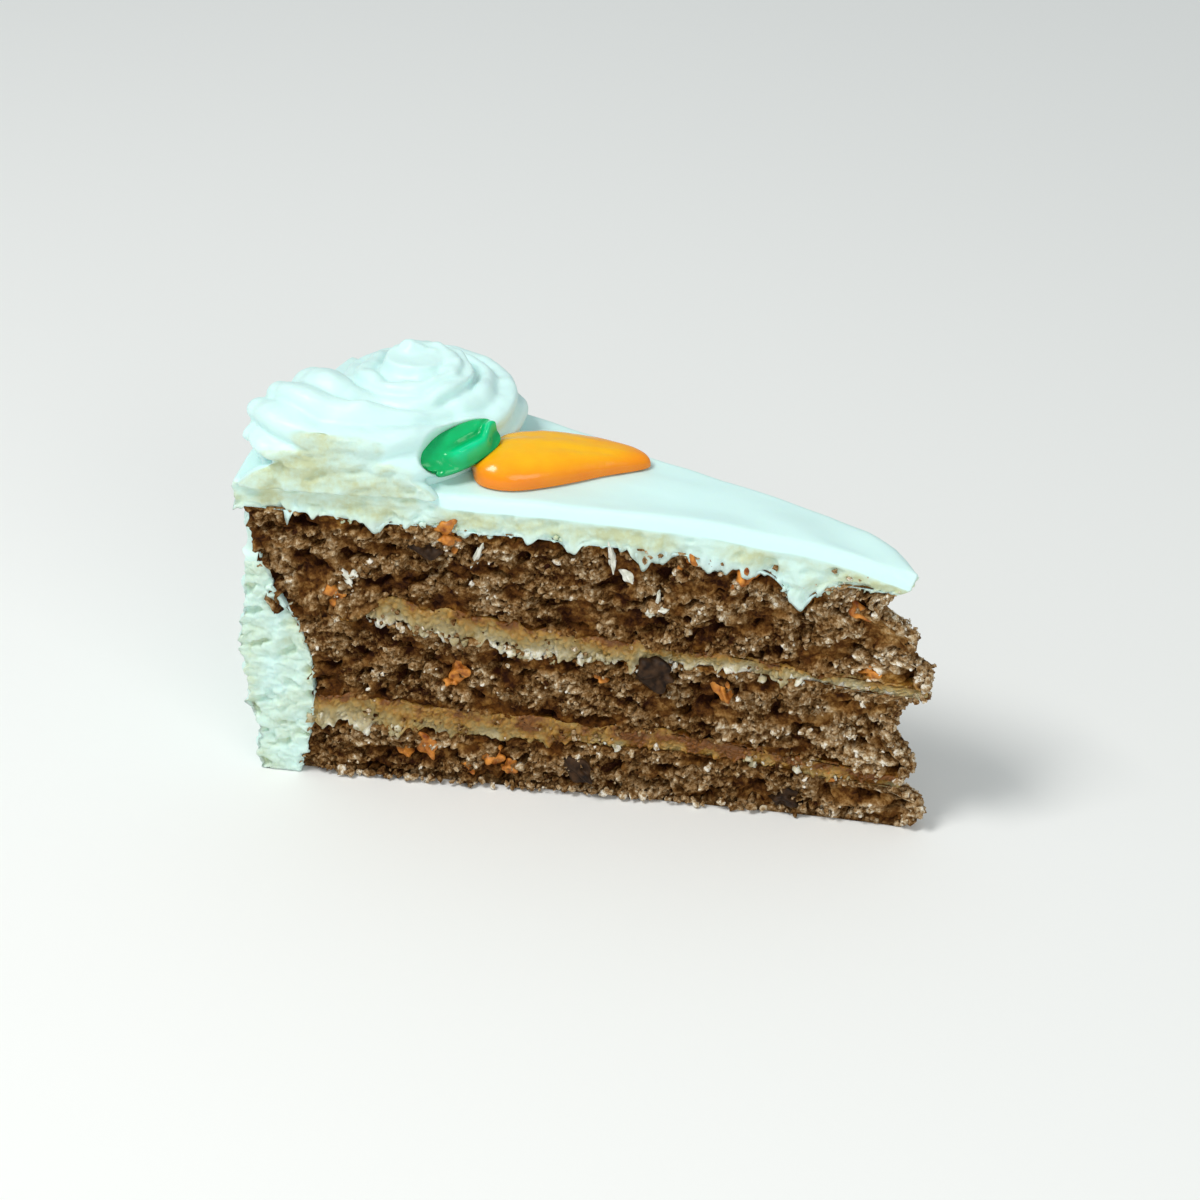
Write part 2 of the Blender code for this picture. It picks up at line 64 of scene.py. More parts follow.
STATIONS = (0.0, 12.0, 42.0, 72.0, 102.0, 127.0)
BOTTOM_TOP = (8.5, 9.0, 12.0, 11.5, 12.0, 12.5)
LOWER_FILLING_TOP = (11.5, 12.3, 15.4, 16.5, 18.0, 18.3)
MIDDLE_TOP = (30.5, 31.0, 32.0, 32.0, 36.4, 38.5)
UPPER_FILLING_TOP = (33.0, 33.5, 35.5, 37.3, 40.8, 41.5)
CAKE_TOP = (52.6, 54.0, 57.5, 58.5, 59.9, 60.6)
ICING_TOP = (57.0, 60.4, 64.6, 65.6, 66.2, 66.4)

# %% Outlines of the tip and the rim against the height, in millimetres
TIP_REACH = (
    (0.0, 0.5), (4.0, 4.0), (7.0, 3.0), (8.3, -0.9), (11.0, 0.0), (14.0, 1.9), (20.0, -2.9),
    (26.0, -2.1), (29.0, 0.0), (31.0, 4.2), (37.0, 4.2), (39.0, -0.6), (44.0, 1.1), (47.5, -6.5),
    (51.0, -5.2), (52.6, -3.0), (54.5, 0.0), (57.5, 1.0),
)
CAKE_RIM = (
    (0.0, 121.4), (9.0, 119.2), (18.0, 118.0), (27.0, 118.2), (34.0, 119.9), (42.0, 124.4),
    (50.0, 127.8), (60.0, 129.4),
)
SIDE_ICING_RIM = (
    (0.0, 128.8), (3.0, 130.2), (8.5, 129.0), (14.0, 130.7), (23.0, 130.8), (30.4, 132.6),
    (36.0, 131.0), (48.0, 130.6), (60.0, 131.2),
)
BACK_BULGE = (
    (0.0, 0.8), (3.0, 3.0), (6.0, 4.6), (12.0, 5.4), (20.0, 5.0), (30.0, 3.2), (42.0, 0.8), (55.0, 0.0),
)
TOP_ICING_RIM = 131.4
TOP_ICING_EDGE = 2.4
BACK_EDGE_SHARE = 0.45
SQUARE_EDGE = (88.0, 97.0)
BARE_RIM_TOP = 48.5
BARE_RIM_SHARE = 0.22
DRIP_AT = 20.5
DRIP_WIDTH = 4.6
DRIP_DROP = 5.2
SWIRL_X = -101.5
SWIRL_Y = 2.5
SWIRL_SEAT = 66.2
SWIRL_CLEAR = (25.0, 31.0)
print("the slice is", max(rim for height, rim in SIDE_ICING_RIM), "mm from tip to rim")


# %% Read an outline, a smooth curve and a soft step, for whole lists of positions at once
def outline_at(points, at):
    """Reads an outline, given as pairs of a place and a value, with straight runs between them."""
    heights, values = zip(*points)
    return np.interp(at, heights, values)


def between_stations(values, slopes, i, span, t):
    """A smooth curve from station i to the next. t runs from 0 to 1, and span is their distance."""
    return (
        (2 * t**3 - 3 * t**2 + 1) * values[i] + (t**3 - 2 * t**2 + t) * span * slopes[i]
        + (3 * t**2 - 2 * t**3) * values[i + 1] + (t**3 - t**2) * span * slopes[i + 1]
    )


def smooth_between(values, at):
    """Reads a curve through the stations at some distances, with smooth tangents."""
    places = np.array(STATIONS)
    values = np.array(values)
    last = len(places) - 1
    before = np.maximum(np.arange(last + 1) - 1, 0)
    after = np.minimum(np.arange(last + 1) + 1, last)
    slopes = (values[after] - values[before]) / (places[after] - places[before])
    at = np.clip(at, places[0], places[-1])
    i = np.clip(np.searchsorted(places, at) - 1, 0, last - 1)
    span = places[i + 1] - places[i]
    return between_stations(values, slopes, i, span, (at - places[i]) / span)


def smooth_step(low, high, at):
    """Rises smoothly from 0 at low to 1 at high, or falls where low is the larger."""
    t = np.clip((np.asarray(at, float) - low) / (high - low), 0.0, 1.0)
    return t * t * (3.0 - 2.0 * t)


print("cake under the icing at 60 mm from the tip:", round(float(smooth_between(CAKE_TOP, 60.0)), 2))


# %% [markdown]
# ## Noise with a size
# A torn crumb, a dragged lump of icing and a wrinkle are all uneven, each at its own size. One function
# reads smooth noise at many places. The places are divided by the size of a lump in millimetres before
# they go in, so the numbers in this lesson say how wide the lumps are on the real cake. The third place
# is mostly a plain number, which sets a pattern apart from others of the same size.

# %% Noise and cells at many places
def noise_at(a, b, c):
    a, b, c = np.broadcast_arrays(a, b, c)
    found = [noise.noise(place) for place in zip(a.ravel().tolist(), b.ravel().tolist(), c.ravel().tolist())]
    return np.array(found).reshape(a.shape)


def cells_at(a, b, c):
    """For the nearest cell: how far its border is, from 0 to about 0.6, and its own number, from 0 to 1."""
    a, b, c = np.broadcast_arrays(a, b, c)
    border = np.empty(a.size)
    own = np.empty(a.size)
    for i, place in enumerate(zip(a.ravel().tolist(), b.ravel().tolist(), c.ravel().tolist())):
        distances, middles = noise.voronoi(place)
        border[i] = distances[1] - distances[0]
        own[i] = math.sin(middles[0].x * 91.7 + middles[0].y * 57.3 + middles[0].z * 23.1) * 0.5 + 0.5
    return border.reshape(a.shape), own.reshape(a.shape)


probe = noise_at(np.linspace(0.0, 40.0, 400), 0.3, 0.7)
print("noise runs from", round(probe.min(), 2), "to", round(probe.max(), 2))

# %% Heights of the layers and of the icing, for many places
def face_height(heights, r, side):
    """Height of a face between layers. The waves are those of the solids."""
    height = smooth_between(heights, r)
    front = 0.8 * noise_at(r / 11.0, 0.0, heights[-1])
    back = 0.8 * noise_at(r / 11.0, 9.0, heights[-1])
    if heights is CAKE_TOP:
        front = front - DRIP_DROP * np.exp(-(((r - DRIP_AT) / DRIP_WIDTH) ** 2))
    share = (side + 1.0) / 2.0
    return height + front * (1.0 - share) + back * share


def icing_height(r, side):
    """Height of the icing's top, gently uneven, and level under the swirl."""
    height = smooth_between(ICING_TOP, r) + 0.7 * noise_at(r / 16.0, side * 1.3, 4.0)
    angle = side * SLICE_ANGLE / 2
    distance = np.hypot(-r * np.cos(angle) - SWIRL_X, r * np.sin(angle) - SWIRL_Y)
    near_swirl = 1.0 - smooth_step(*SWIRL_CLEAR, distance)
    return height + (SWIRL_SEAT - height) * near_swirl


def on_wedge(r, side, z, out=0.0):
    """Places in the wedge as points in metres. out is how far a place stands out from its cut."""
    angle = side * SLICE_ANGLE / 2
    fade = np.exp(-r / TIP_FADE)
    x = TIP_X - r * np.cos(angle) + outline_at(TIP_REACH, z) * fade
    y = r * np.sin(angle) + side * TIP_WIDTH * fade + np.sign(side) * out
    y = y + np.maximum(side, 0.0) * outline_at(BACK_BULGE, r)
    return np.stack(np.broadcast_arrays(x, y, z), axis=-1) * MM


print("the icing's top at 60 mm:", round(float(icing_height(np.array(60.0), np.array(0.0))), 2))

# %% [markdown]
# ## The materials' groundwork
# Colours are written as the hex values that a paint program shows, so one function turns them to the
# linear light that shaders work in. A second small function adds a node, sets its values and links
# its inputs, and a third starts a finish with the values that are the same all over. Every finish below
# is built from these three, in object coordinates, so that nothing slides.


# %% Colour and node helpers
def linear(hex_colour):
    """A colour of a paint program as linear light, with full cover."""
    parts = [int(hex_colour[i:i + 2], 16) / 255.0 for i in (1, 3, 5)]
    light = [p / 12.92 if p <= 0.04045 else ((p + 0.055) / 1.055) ** 2.4 for p in parts]
    return (*light, 1.0)


def add_node(tree, kind, inputs=None, stops=None, **settings):
    """Adds a node. An input is a plain value or another node's output, and stops fill a colour ramp."""
    node = tree.nodes.new(kind)
    for name, value in settings.items():
        setattr(node, name, value)
    for name, value in (inputs or {}).items():
        if isinstance(value, bpy.types.NodeSocket):
            tree.links.new(value, node.inputs[name])
        else:
            node.inputs[name].default_value = value
    if stops:
        ramp = node.color_ramp
        while len(ramp.elements) < len(stops):
            ramp.elements.new(0.5)
        for element, (position, colour) in zip(ramp.elements, stops):
            element.position = position
            element.color = linear(colour)
    return node


def new_finish(name, settings):
    """A material with plain settings: it, its nodes, its shader and the place that patterns read."""
    material = bpy.data.materials.new(name)
    material.use_nodes = True
    tree = material.node_tree
    shader = tree.nodes["Principled BSDF"]
    for socket, value in settings.items():
        shader.inputs[socket].default_value = value
    place = add_node(tree, "ShaderNodeTexCoord").outputs["Object"]
    return material, tree, shader, place


print("icing white in linear light:", [round(part, 3) for part in linear("#d6f7f5")[:3]])

# %% [markdown]
# ## Baked carrot cake crumb
# Crumb is a dry, matt foam. Where a knife tears it, crumbs stand up dry, with holes between them. The mesh
# below carries two values: the tone is high on a crumb and low in a hole, which is painted light on the
# crumbs and painted shade in the holes on top of their own tone, and soak is high where icing or filling
# has soaked in. The finest grain, under a millimetre, is drawn by noise in the shader. There is little
# gloss, only where sugar glints.


# %% The crumb material
def baked_crumb():
    material, tree, shader, place = new_finish("baked_crumb", {"IOR": 1.45, "Specular IOR Level": 0.1})
    # The tone value carries painted light on raised crumbs and painted shade in holes, besides the crumb's
    # own tone.
    tone_and_shade = add_node(tree, "ShaderNodeAttribute", attribute_name="tone_and_shade").outputs["Fac"]
    soak = add_node(tree, "ShaderNodeAttribute", attribute_name="soak").outputs["Fac"]
    # Single crumbs of 1.2 mm each have a tone of their own, and grains of 0.9 mm and less vary it again.
    stir = add_node(tree, "ShaderNodeTexNoise", {"Vector": place, "Scale": 1 / (1.4 * MM), "Detail": 2.0})
    stirred = add_node(tree, "ShaderNodeVectorMath", {0: stir.outputs["Color"], 1: (1.1 * MM,) * 3,
                                                      2: place}, operation="MULTIPLY_ADD")
    crumb = add_node(tree, "ShaderNodeTexVoronoi", {"Vector": stirred.outputs[0], "Scale": 1 / (1.2 * MM)})
    own = add_node(tree, "ShaderNodeSeparateColor", {"Color": crumb.outputs["Color"]})
    grain = add_node(tree, "ShaderNodeTexNoise", {"Vector": place, "Scale": 1 / (0.9 * MM), "Detail": 4.0,
                                                 "Roughness": 0.75})
    patch = add_node(tree, "ShaderNodeTexNoise", {"Vector": place, "Scale": 1 / (6.0 * MM), "Detail": 3.0})
    # Pale crumbs sparkle with fine grain, and the moist inside is even.
    strength = add_node(tree, "ShaderNodeMath", {0: soak, 1: -0.8, 2: 1.6}, operation="MULTIPLY_ADD")
    centred = add_node(tree, "ShaderNodeMath", {0: grain.outputs["Fac"], 1: 0.5}, operation="SUBTRACT")
    mixed = add_node(tree, "ShaderNodeMath", {0: centred.outputs[0], 1: strength.outputs[0], 2: tone_and_shade},
                     operation="MULTIPLY_ADD").outputs[0]
    # Each source is shifted to lie around 0, so that it varies the tone and doesn't move all of it.
    # The distance from a cell's middle darkens each crumb towards its border: painted shade between crumbs.
    shares = ((own.outputs["Red"], 0.24, -0.12), (crumb.outputs["Distance"], -0.25, 0.11),
              (patch.outputs["Fac"], 0.9, -0.45))
    for source, share, middle in shares:
        part = add_node(tree, "ShaderNodeMath", {0: source, 1: share, 2: middle}, operation="MULTIPLY_ADD")
        mixed = add_node(tree, "ShaderNodeMath", {0: mixed, 1: part.outputs[0]}, operation="ADD").outputs[0]
    dry = add_node(tree, "ShaderNodeValToRGB", {"Fac": mixed}, stops=(
        (0.0, "#301204"), (0.2, "#50300f"), (0.42, "#7f5d34"), (0.62, "#a68660"), (0.82, "#cfba98"),
        (1.0, "#faf4e8"),
    ))
    wet = add_node(tree, "ShaderNodeValToRGB", {"Fac": mixed}, stops=(
        (0.0, "#2a0f02"), (0.35, "#61380e"), (0.7, "#9b6e30"), (1.0, "#d2b07a"),
    ))
    colour = add_node(tree, "ShaderNodeMix", {"Factor": soak, 6: dry.outputs["Color"],
                                              7: wet.outputs["Color"]}, data_type="RGBA")
    tree.links.new(colour.outputs[2], shader.inputs["Base Color"])
    gloss = add_node(tree, "ShaderNodeMapRange", {"Value": grain.outputs["Fac"], "From Min": 0.35,
                                                  "From Max": 0.7, "To Min": 0.75, "To Max": 0.38})
    tree.links.new(gloss.outputs[0], shader.inputs["Roughness"])
    hollowed = add_node(tree, "ShaderNodeMath", {0: crumb.outputs["Distance"], 1: -0.8,
                                                 2: grain.outputs["Fac"]}, operation="MULTIPLY_ADD")
    bump = add_node(tree, "ShaderNodeBump", {"Height": hollowed.outputs[0], "Strength": 0.8,
                                             "Distance": 0.6 * MM})
    tree.links.new(bump.outputs[0], shader.inputs["Normal"])
    return material


crumb_finish = baked_crumb()
print("made", crumb_finish.name)

# %% [markdown]
# ## A block cut into a grid
# Layers, fillings and the icing coats are all blocks that are long, wide and thin. Each starts as a cube,
# and edit mode divides its edges along one direction at a time. Then the vertices are moved to their
# place in the wedge. Sculpting would give the same relief, but a rule for every vertex can be read,
# changed and run again.


# %% Divide a cube's edges along each direction
def select_nothing():
    bpy.ops.object.select_all(action="DESELECT")


def divide_along(piece, axis, parts):
    """Divides every edge that runs along one axis into equal parts."""
    mesh = piece.data
    bpy.ops.object.mode_set(mode="EDIT")
    bpy.ops.mesh.select_mode(type="EDGE")
    bpy.ops.mesh.select_all(action="DESELECT")
    bpy.ops.object.mode_set(mode="OBJECT")
    places = vertex_places(piece)
    ends = np.empty(len(mesh.edges) * 2, dtype=np.int32)
    mesh.edges.foreach_get("vertices", ends)
    runs = np.abs(places[ends[1::2]] - places[ends[0::2]])
    along = runs[:, axis] > 0.9 * runs.sum(axis=1)
    mesh.edges.foreach_set("select", along)
    bpy.ops.object.mode_set(mode="EDIT")
    bpy.ops.mesh.subdivide(number_cuts=parts - 1)
    bpy.ops.object.mode_set(mode="OBJECT")


def vertex_places(piece):
    places = np.empty(len(piece.data.vertices) * 3)
    piece.data.vertices.foreach_get("co", places)
    return places.reshape(-1, 3)


def move_vertices(piece, places):
    piece.data.vertices.foreach_set("co", np.ascontiguousarray(places, dtype=np.float32).ravel())
    piece.data.update()


def grid_block(name, along_parts, across_parts, up_parts):
    """A block from 0 to 1 in X and Z and from -1 to 1 in Y. Each count is given as its factors."""
    select_nothing()
    bpy.ops.mesh.primitive_cube_add(size=1.0, location=(0.5, 0.0, 0.5), scale=(1.0, 2.0, 1.0))
    piece = bpy.context.object
    piece.name = name
    piece.data.name = name
    bpy.ops.object.transform_apply(location=True, rotation=True, scale=True)
    for axis, factors in enumerate((along_parts, across_parts, up_parts)):
        for parts in factors:
            divide_along(piece, axis, parts)
    return piece


def paint(piece, name, values):
    """Keeps one value for each vertex, for a material to read."""
    layer = piece.data.attributes.new(name, "FLOAT", "POINT")
    layer.data.foreach_set("value", np.ascontiguousarray(values, dtype=np.float32))


def finish_piece(piece, material, node):
    """Shades a piece, gives it its finish and lets it stand for its node."""
    piece.data.shade_smooth()
    piece.data.materials.clear()
    piece.data.materials.append(material)
    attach(piece, "root")
    if node:
        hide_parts(node)
    triangles = sum(len(face.vertices) - 2 for face in piece.data.polygons)
    print(piece.name, "has", triangles, "triangles")


# %% [markdown]
# ## How torn crumb stands out
# A cut through cake isn't flat: the knife drags crumbs out and leaves holes. The relief adds up
# lumps of 5.5 mm, flat flakes that lie level, because the batter rose in layers, crumbs of 2 mm and of
# 1 mm, and grains. Holes are cut where a stretched noise is high. The same sum gives the tone as painted
# light and shade, so that what stands out is painted pale and what lies deep is painted dark.

# %% The relief of a crumb face
LUMP = 5.5
FLAKE_LENGTH = 3.0
FLAKE_HEIGHT = 1.4
CRUMB = 2.1
SMALL_CRUMB = 1.0
GRAIN = 0.6
HOLE_LENGTH = 4.6
HOLE_HEIGHT = 2.4
HOLE_DEPTH = 2.1
PIT_LENGTH = 1.8
PIT_HEIGHT = 1.3
PIT_DEPTH = 0.9
INSIDE_LENGTH = 8.5
INSIDE_HEIGHT = 4.0
INSIDE_DEPTH = 0.9
STIR_SIZE = 1.9
STIR_REACH = 0.9
# The crumb near the thin end of the slice is painted paler: painted light, as that end is lit more.
TIP_PAINTED_LIGHT = 0.3
TIP_PAINTED_LIGHT_FADE = 13.0


def crag(r, z, side, depth):
    """The coarse relief of the solids, which the fine relief lies on."""
    coarse = noise_at(r / 7.0, z / 5.0, 20.0 * side)
    fine = noise_at(r / 3.0, z / 2.5, 20.0 * side + 5.0)
    return depth * (coarse + 0.5 * fine)


def crumb_relief(r, z, side):
    """How far torn crumb stands out, its tone with painted light and shade, and how much it is moist inside.
    """
    seed = 20.0 * side
    lumps = noise_at(r / LUMP, z / LUMP, seed + 31.0)
    flakes = noise_at(r / FLAKE_LENGTH, z / FLAKE_HEIGHT, seed + 37.0)
    # Crumbs don't sit in rows, so the places of the cells are stirred first.
    stir_r = r + STIR_REACH * noise_at(r / STIR_SIZE, z / STIR_SIZE, seed + 39.0)
    stir_z = z + STIR_REACH * noise_at(r / STIR_SIZE, z / STIR_SIZE, seed + 40.0)
    # Torn stretches are rough. Between them the inside lies deeper and smooth, and is darker: in part moist
    # crumb, in part painted shade.
    moist = noise_at(stir_r / INSIDE_LENGTH, stir_z / INSIDE_HEIGHT, seed + 33.0)
    moist = moist + 0.35 * noise_at(stir_r / 3.0, stir_z / 2.0, seed)
    inside = smooth_step(-0.02, 0.3, moist)
    torn = 1.0 - inside
    border, own = cells_at(stir_r / CRUMB * 0.8, stir_z / CRUMB * 1.3, seed + 41.0)
    crumbs = (smooth_step(0.0, 0.5, border) - 0.5) * (0.5 + own)
    small_border, small_own = cells_at(stir_r / SMALL_CRUMB * 0.85, stir_z / SMALL_CRUMB * 1.2, seed + 42.0)
    small = (smooth_step(0.0, 0.5, small_border) - 0.5) * (0.5 + small_own)
    grains = noise_at(r / GRAIN, z / GRAIN, seed + 43.0)
    # Holes crowd together in some places and are rare in others.
    crowd = 0.16 * noise_at(r / 15.0, z / 9.0, seed + 45.0)
    hollow = smooth_step(0.16, 0.4, crowd + noise_at(stir_r / HOLE_LENGTH, stir_z / HOLE_HEIGHT, seed + 47.0))
    pits = smooth_step(0.15, 0.45, noise_at(stir_r / PIT_LENGTH, stir_z / PIT_HEIGHT, seed + 53.0))
    relief = 0.8 * crumbs + 0.5 * small + 0.4 * grains
    out = crag(r, z, side, 0.9) + 0.5 * lumps + 0.5 * flakes + relief * (0.35 + 0.65 * torn)
    out = out - INSIDE_DEPTH * inside - HOLE_DEPTH * hollow - PIT_DEPTH * pits * torn
    # The tone is painted light and shade on top of each crumb's own tone: paler where the crumb stands out,
    # darker in the inside, the holes and the pits.
    tone_and_shade = 0.52 + 0.16 * lumps + 0.2 * flakes + (0.16 * crumbs + 0.18 * small + 0.12 * (own - 0.5)) * torn
    tone_and_shade = tone_and_shade - 0.22 * inside - 0.3 * hollow - 0.16 * pits + TIP_PAINTED_LIGHT * np.exp(-r / TIP_PAINTED_LIGHT_FADE)
    return out, np.clip(tone_and_shade, 0.0, 1.0), inside


sample_out, sample_tone, _ = crumb_relief(np.linspace(5.0, 110.0, 500), 25.0, -1.0)
print("crumb stands out by", np.round(np.percentile(sample_out, (5, 50, 95)), 2), "mm")
print("its tones are", np.round(np.percentile(sample_tone, (5, 50, 95)), 2))

# %% [markdown]
# ## The three cake layers
# Each layer lies between two of the curved faces. Its grid is fine along the cut, 0.25 mm, and
# coarse across the slice, where nothing shows. Each piece reaches a tenth of a millimetre into its
# neighbours, so no light passes between them. Only the vertices on the two cuts and at the tip get the
# relief.

# %% Build the layers
OVERLAP = 0.1
SIDE_REACH = 0.999
SOAK_DEPTH = 1.6
RIM_WANDER = 1.1
RIM_WANDER_FROM = (112.0, 119.0)
BASE_CURL = 4.2
BASE_CURL_HEIGHT = 2.2
# Between these distances the top layer starts to sag over the upper filling on the front cut.
COVERED_FILLING = (100.0, 110.0)


def widen(v):
    """Moves the grid lines towards the two cuts, where more of them are needed."""
    return np.sin(v * math.pi / 2)


def rim_wander(z, side):
    """How far the ragged border between crumb and the icing on the rim wanders along a cut."""
    return RIM_WANDER * (noise_at(z / 3.2, side, 151.0) + 0.6 * noise_at(z / 1.1, side, 157.0))


def between_faces(piece, low, high):
    """Lays a block between two faces: distance, side and height, share of the height, floor, ceiling."""
    u, v, w = vertex_places(piece).T
    side = widen(v)
    r = u * STATIONS[-1]
    floor = np.zeros_like(r) if low is None else face_height(low, r, side) - OVERLAP
    ceiling = face_height(high, r, side) + OVERLAP
    z = floor + (ceiling - floor) * w
    r = r * outline_at(CAKE_RIM, z) / STATIONS[-1]
    return r, side, z, w, floor, ceiling


def cake_layer(name, node, low, high, up_parts):
    piece = grid_block(name, (26, 20), (8,), up_parts)
    r, side, z, w, floor, ceiling = between_faces(piece, low, high)
    on_cut = np.abs(side) > SIDE_REACH
    out = np.zeros_like(r)
    tone_and_shade = np.full_like(r, 0.4)
    inside = np.zeros_like(r)
    out[on_cut], tone_and_shade[on_cut], inside[on_cut] = crumb_relief(r[on_cut], z[on_cut], np.sign(side[on_cut]))
    # Torn crumbs also shift along the cut, and the lowest edge is broken and curls up from the plate.
    shift_r = np.zeros_like(r)
    shift_z = np.zeros_like(r)
    cut_r, cut_z, cut_side = r[on_cut], z[on_cut], side[on_cut]
    shift_r[on_cut] = 0.4 * noise_at(cut_r / 1.3, cut_z / 1.3, 61.0)
    shift_r[on_cut] += rim_wander(cut_z, cut_side) * smooth_step(*RIM_WANDER_FROM, cut_r)
    shift_z[on_cut] = 0.35 * noise_at(cut_r / 1.3, cut_z / 1.3, 67.0)
    if low is None:
        ragged = np.abs(noise_at(cut_r / 4.5, cut_side, 71.0))
        ragged = ragged + 0.6 * np.abs(noise_at(cut_r / 1.4, cut_side, 72.0))
        near_base = np.exp(-cut_z / BASE_CURL_HEIGHT)
        shift_z[on_cut] += (BASE_CURL * ragged + 0.2) * near_base
        out[on_cut] += (1.4 * noise_at(cut_r / 3.4, cut_side, 74.0) - 2.0 * ragged) * near_base
    if low is UPPER_FILLING_TOP:
        # Beyond here the top layer has sagged over the filling, which doesn't show.
        cover = smooth_step(*COVERED_FILLING, cut_r) * (1.0 - w[on_cut]) ** 4 * (cut_side < 0.0)
        shift_z[on_cut] -= 4.4 * cover
        out[on_cut] += 0.9 * cover
    at_tip = np.exp(-r / 3.0)
    places = on_wedge(r + shift_r, side, np.maximum(z + shift_z, 0.0), out * smooth_step(0.0, 2.0, r))
    tip_border, _ = cells_at(side * 1.5, z / 1.9, 79.0)
    tip_crumbs = 1.6 * noise_at(side * 1.5, z / 1.7, 73.0) + 1.8 * (smooth_step(0.0, 0.5, tip_border) - 0.6)
    places[:, 0] += tip_crumbs * at_tip * MM
    move_vertices(piece, places)
    # The deeper inside also takes the darker wet colours: in part moist crumb, in part painted shade.
    soaked = 0.75 * inside + 0.6 * np.exp(-(ceiling - z) / SOAK_DEPTH)
    if low is not None:
        soaked = soaked + 0.8 * np.exp(-(z - floor) / SOAK_DEPTH)
    paint(piece, "tone_and_shade", tone_and_shade)
    paint(piece, "soak", np.clip(soaked, 0.0, 1.0))
    finish_piece(piece, crumb_finish, node)


cake_layer("bottom_crumb", "cake_layer_bottom", None, BOTTOM_TOP, (8, 6))
cake_layer("middle_crumb", "cake_layer_middle", LOWER_FILLING_TOP, MIDDLE_TOP, (9, 8))
cake_layer("top_crumb", "cake_layer_top", UPPER_FILLING_TOP, CAKE_TOP, (12, 7))

# %% [markdown]
# ## The fillings
# The filling is a sugary cheese paste that has set. It is amber where it has soaked into the layer over
# it, tan and a little clear in the middle, and below it white grains hang over the torn crumb. One value
# from bottom to top, "band", tells the material where it is, and noise makes each border ragged.


# %% The filling material
def set_filling():
    material, tree, shader, place = new_finish("set_cheese_filling", {
        "IOR": 1.45, "Roughness": 0.42, "Subsurface Weight": 0.25, "Subsurface Radius": (1.0, 0.7, 0.4),
        "Subsurface Scale": 1.5 * MM,
    })
    band = add_node(tree, "ShaderNodeAttribute", attribute_name="band").outputs["Fac"]
    bead = add_node(tree, "ShaderNodeTexNoise", {"Vector": place, "Scale": 1 / (2.2 * MM), "Detail": 4.0,
                                                "Roughness": 0.65})
    smear = add_node(tree, "ShaderNodeTexNoise", {"Vector": place, "Scale": 1 / (7.0 * MM), "Detail": 3.0})
    bead_share = add_node(tree, "ShaderNodeMath", {0: bead.outputs["Fac"], 1: 0.9, 2: -0.45},
                          operation="MULTIPLY_ADD")
    smear_share = add_node(tree, "ShaderNodeMath", {0: smear.outputs["Fac"], 1: 1.5, 2: -0.75},
                           operation="MULTIPLY_ADD")
    varied = add_node(tree, "ShaderNodeMath", {0: band, 1: bead_share.outputs[0]}, operation="ADD")
    mixed = add_node(tree, "ShaderNodeMath", {0: varied.outputs[0], 1: smear_share.outputs[0]},
                     operation="ADD", use_clamp=True)
    colour = add_node(tree, "ShaderNodeValToRGB", {"Fac": mixed.outputs[0]}, stops=(
        (0.0, "#e4dfd0"), (0.12, "#c0b697"), (0.3, "#a99a72"), (0.55, "#a38b54"), (0.8, "#a67b32"),
        (1.0, "#7a4912"),
    ))
    tree.links.new(colour.outputs["Color"], shader.inputs["Base Color"])
    bump = add_node(tree, "ShaderNodeBump", {"Height": bead.outputs["Fac"], "Strength": 0.6,
                                             "Distance": 0.5 * MM})
    tree.links.new(bump.outputs[0], shader.inputs["Normal"])
    return material


filling_finish = set_filling()
print("made", filling_finish.name)

# %% Build the fillings
FILLING_SAG = 1.9
LOWER_BROWNER = 0.34
UPPER_BROWNER = -0.18
WHITE_STATIONS = (10.0, 45.0, 70.0, 100.0, 115.0)


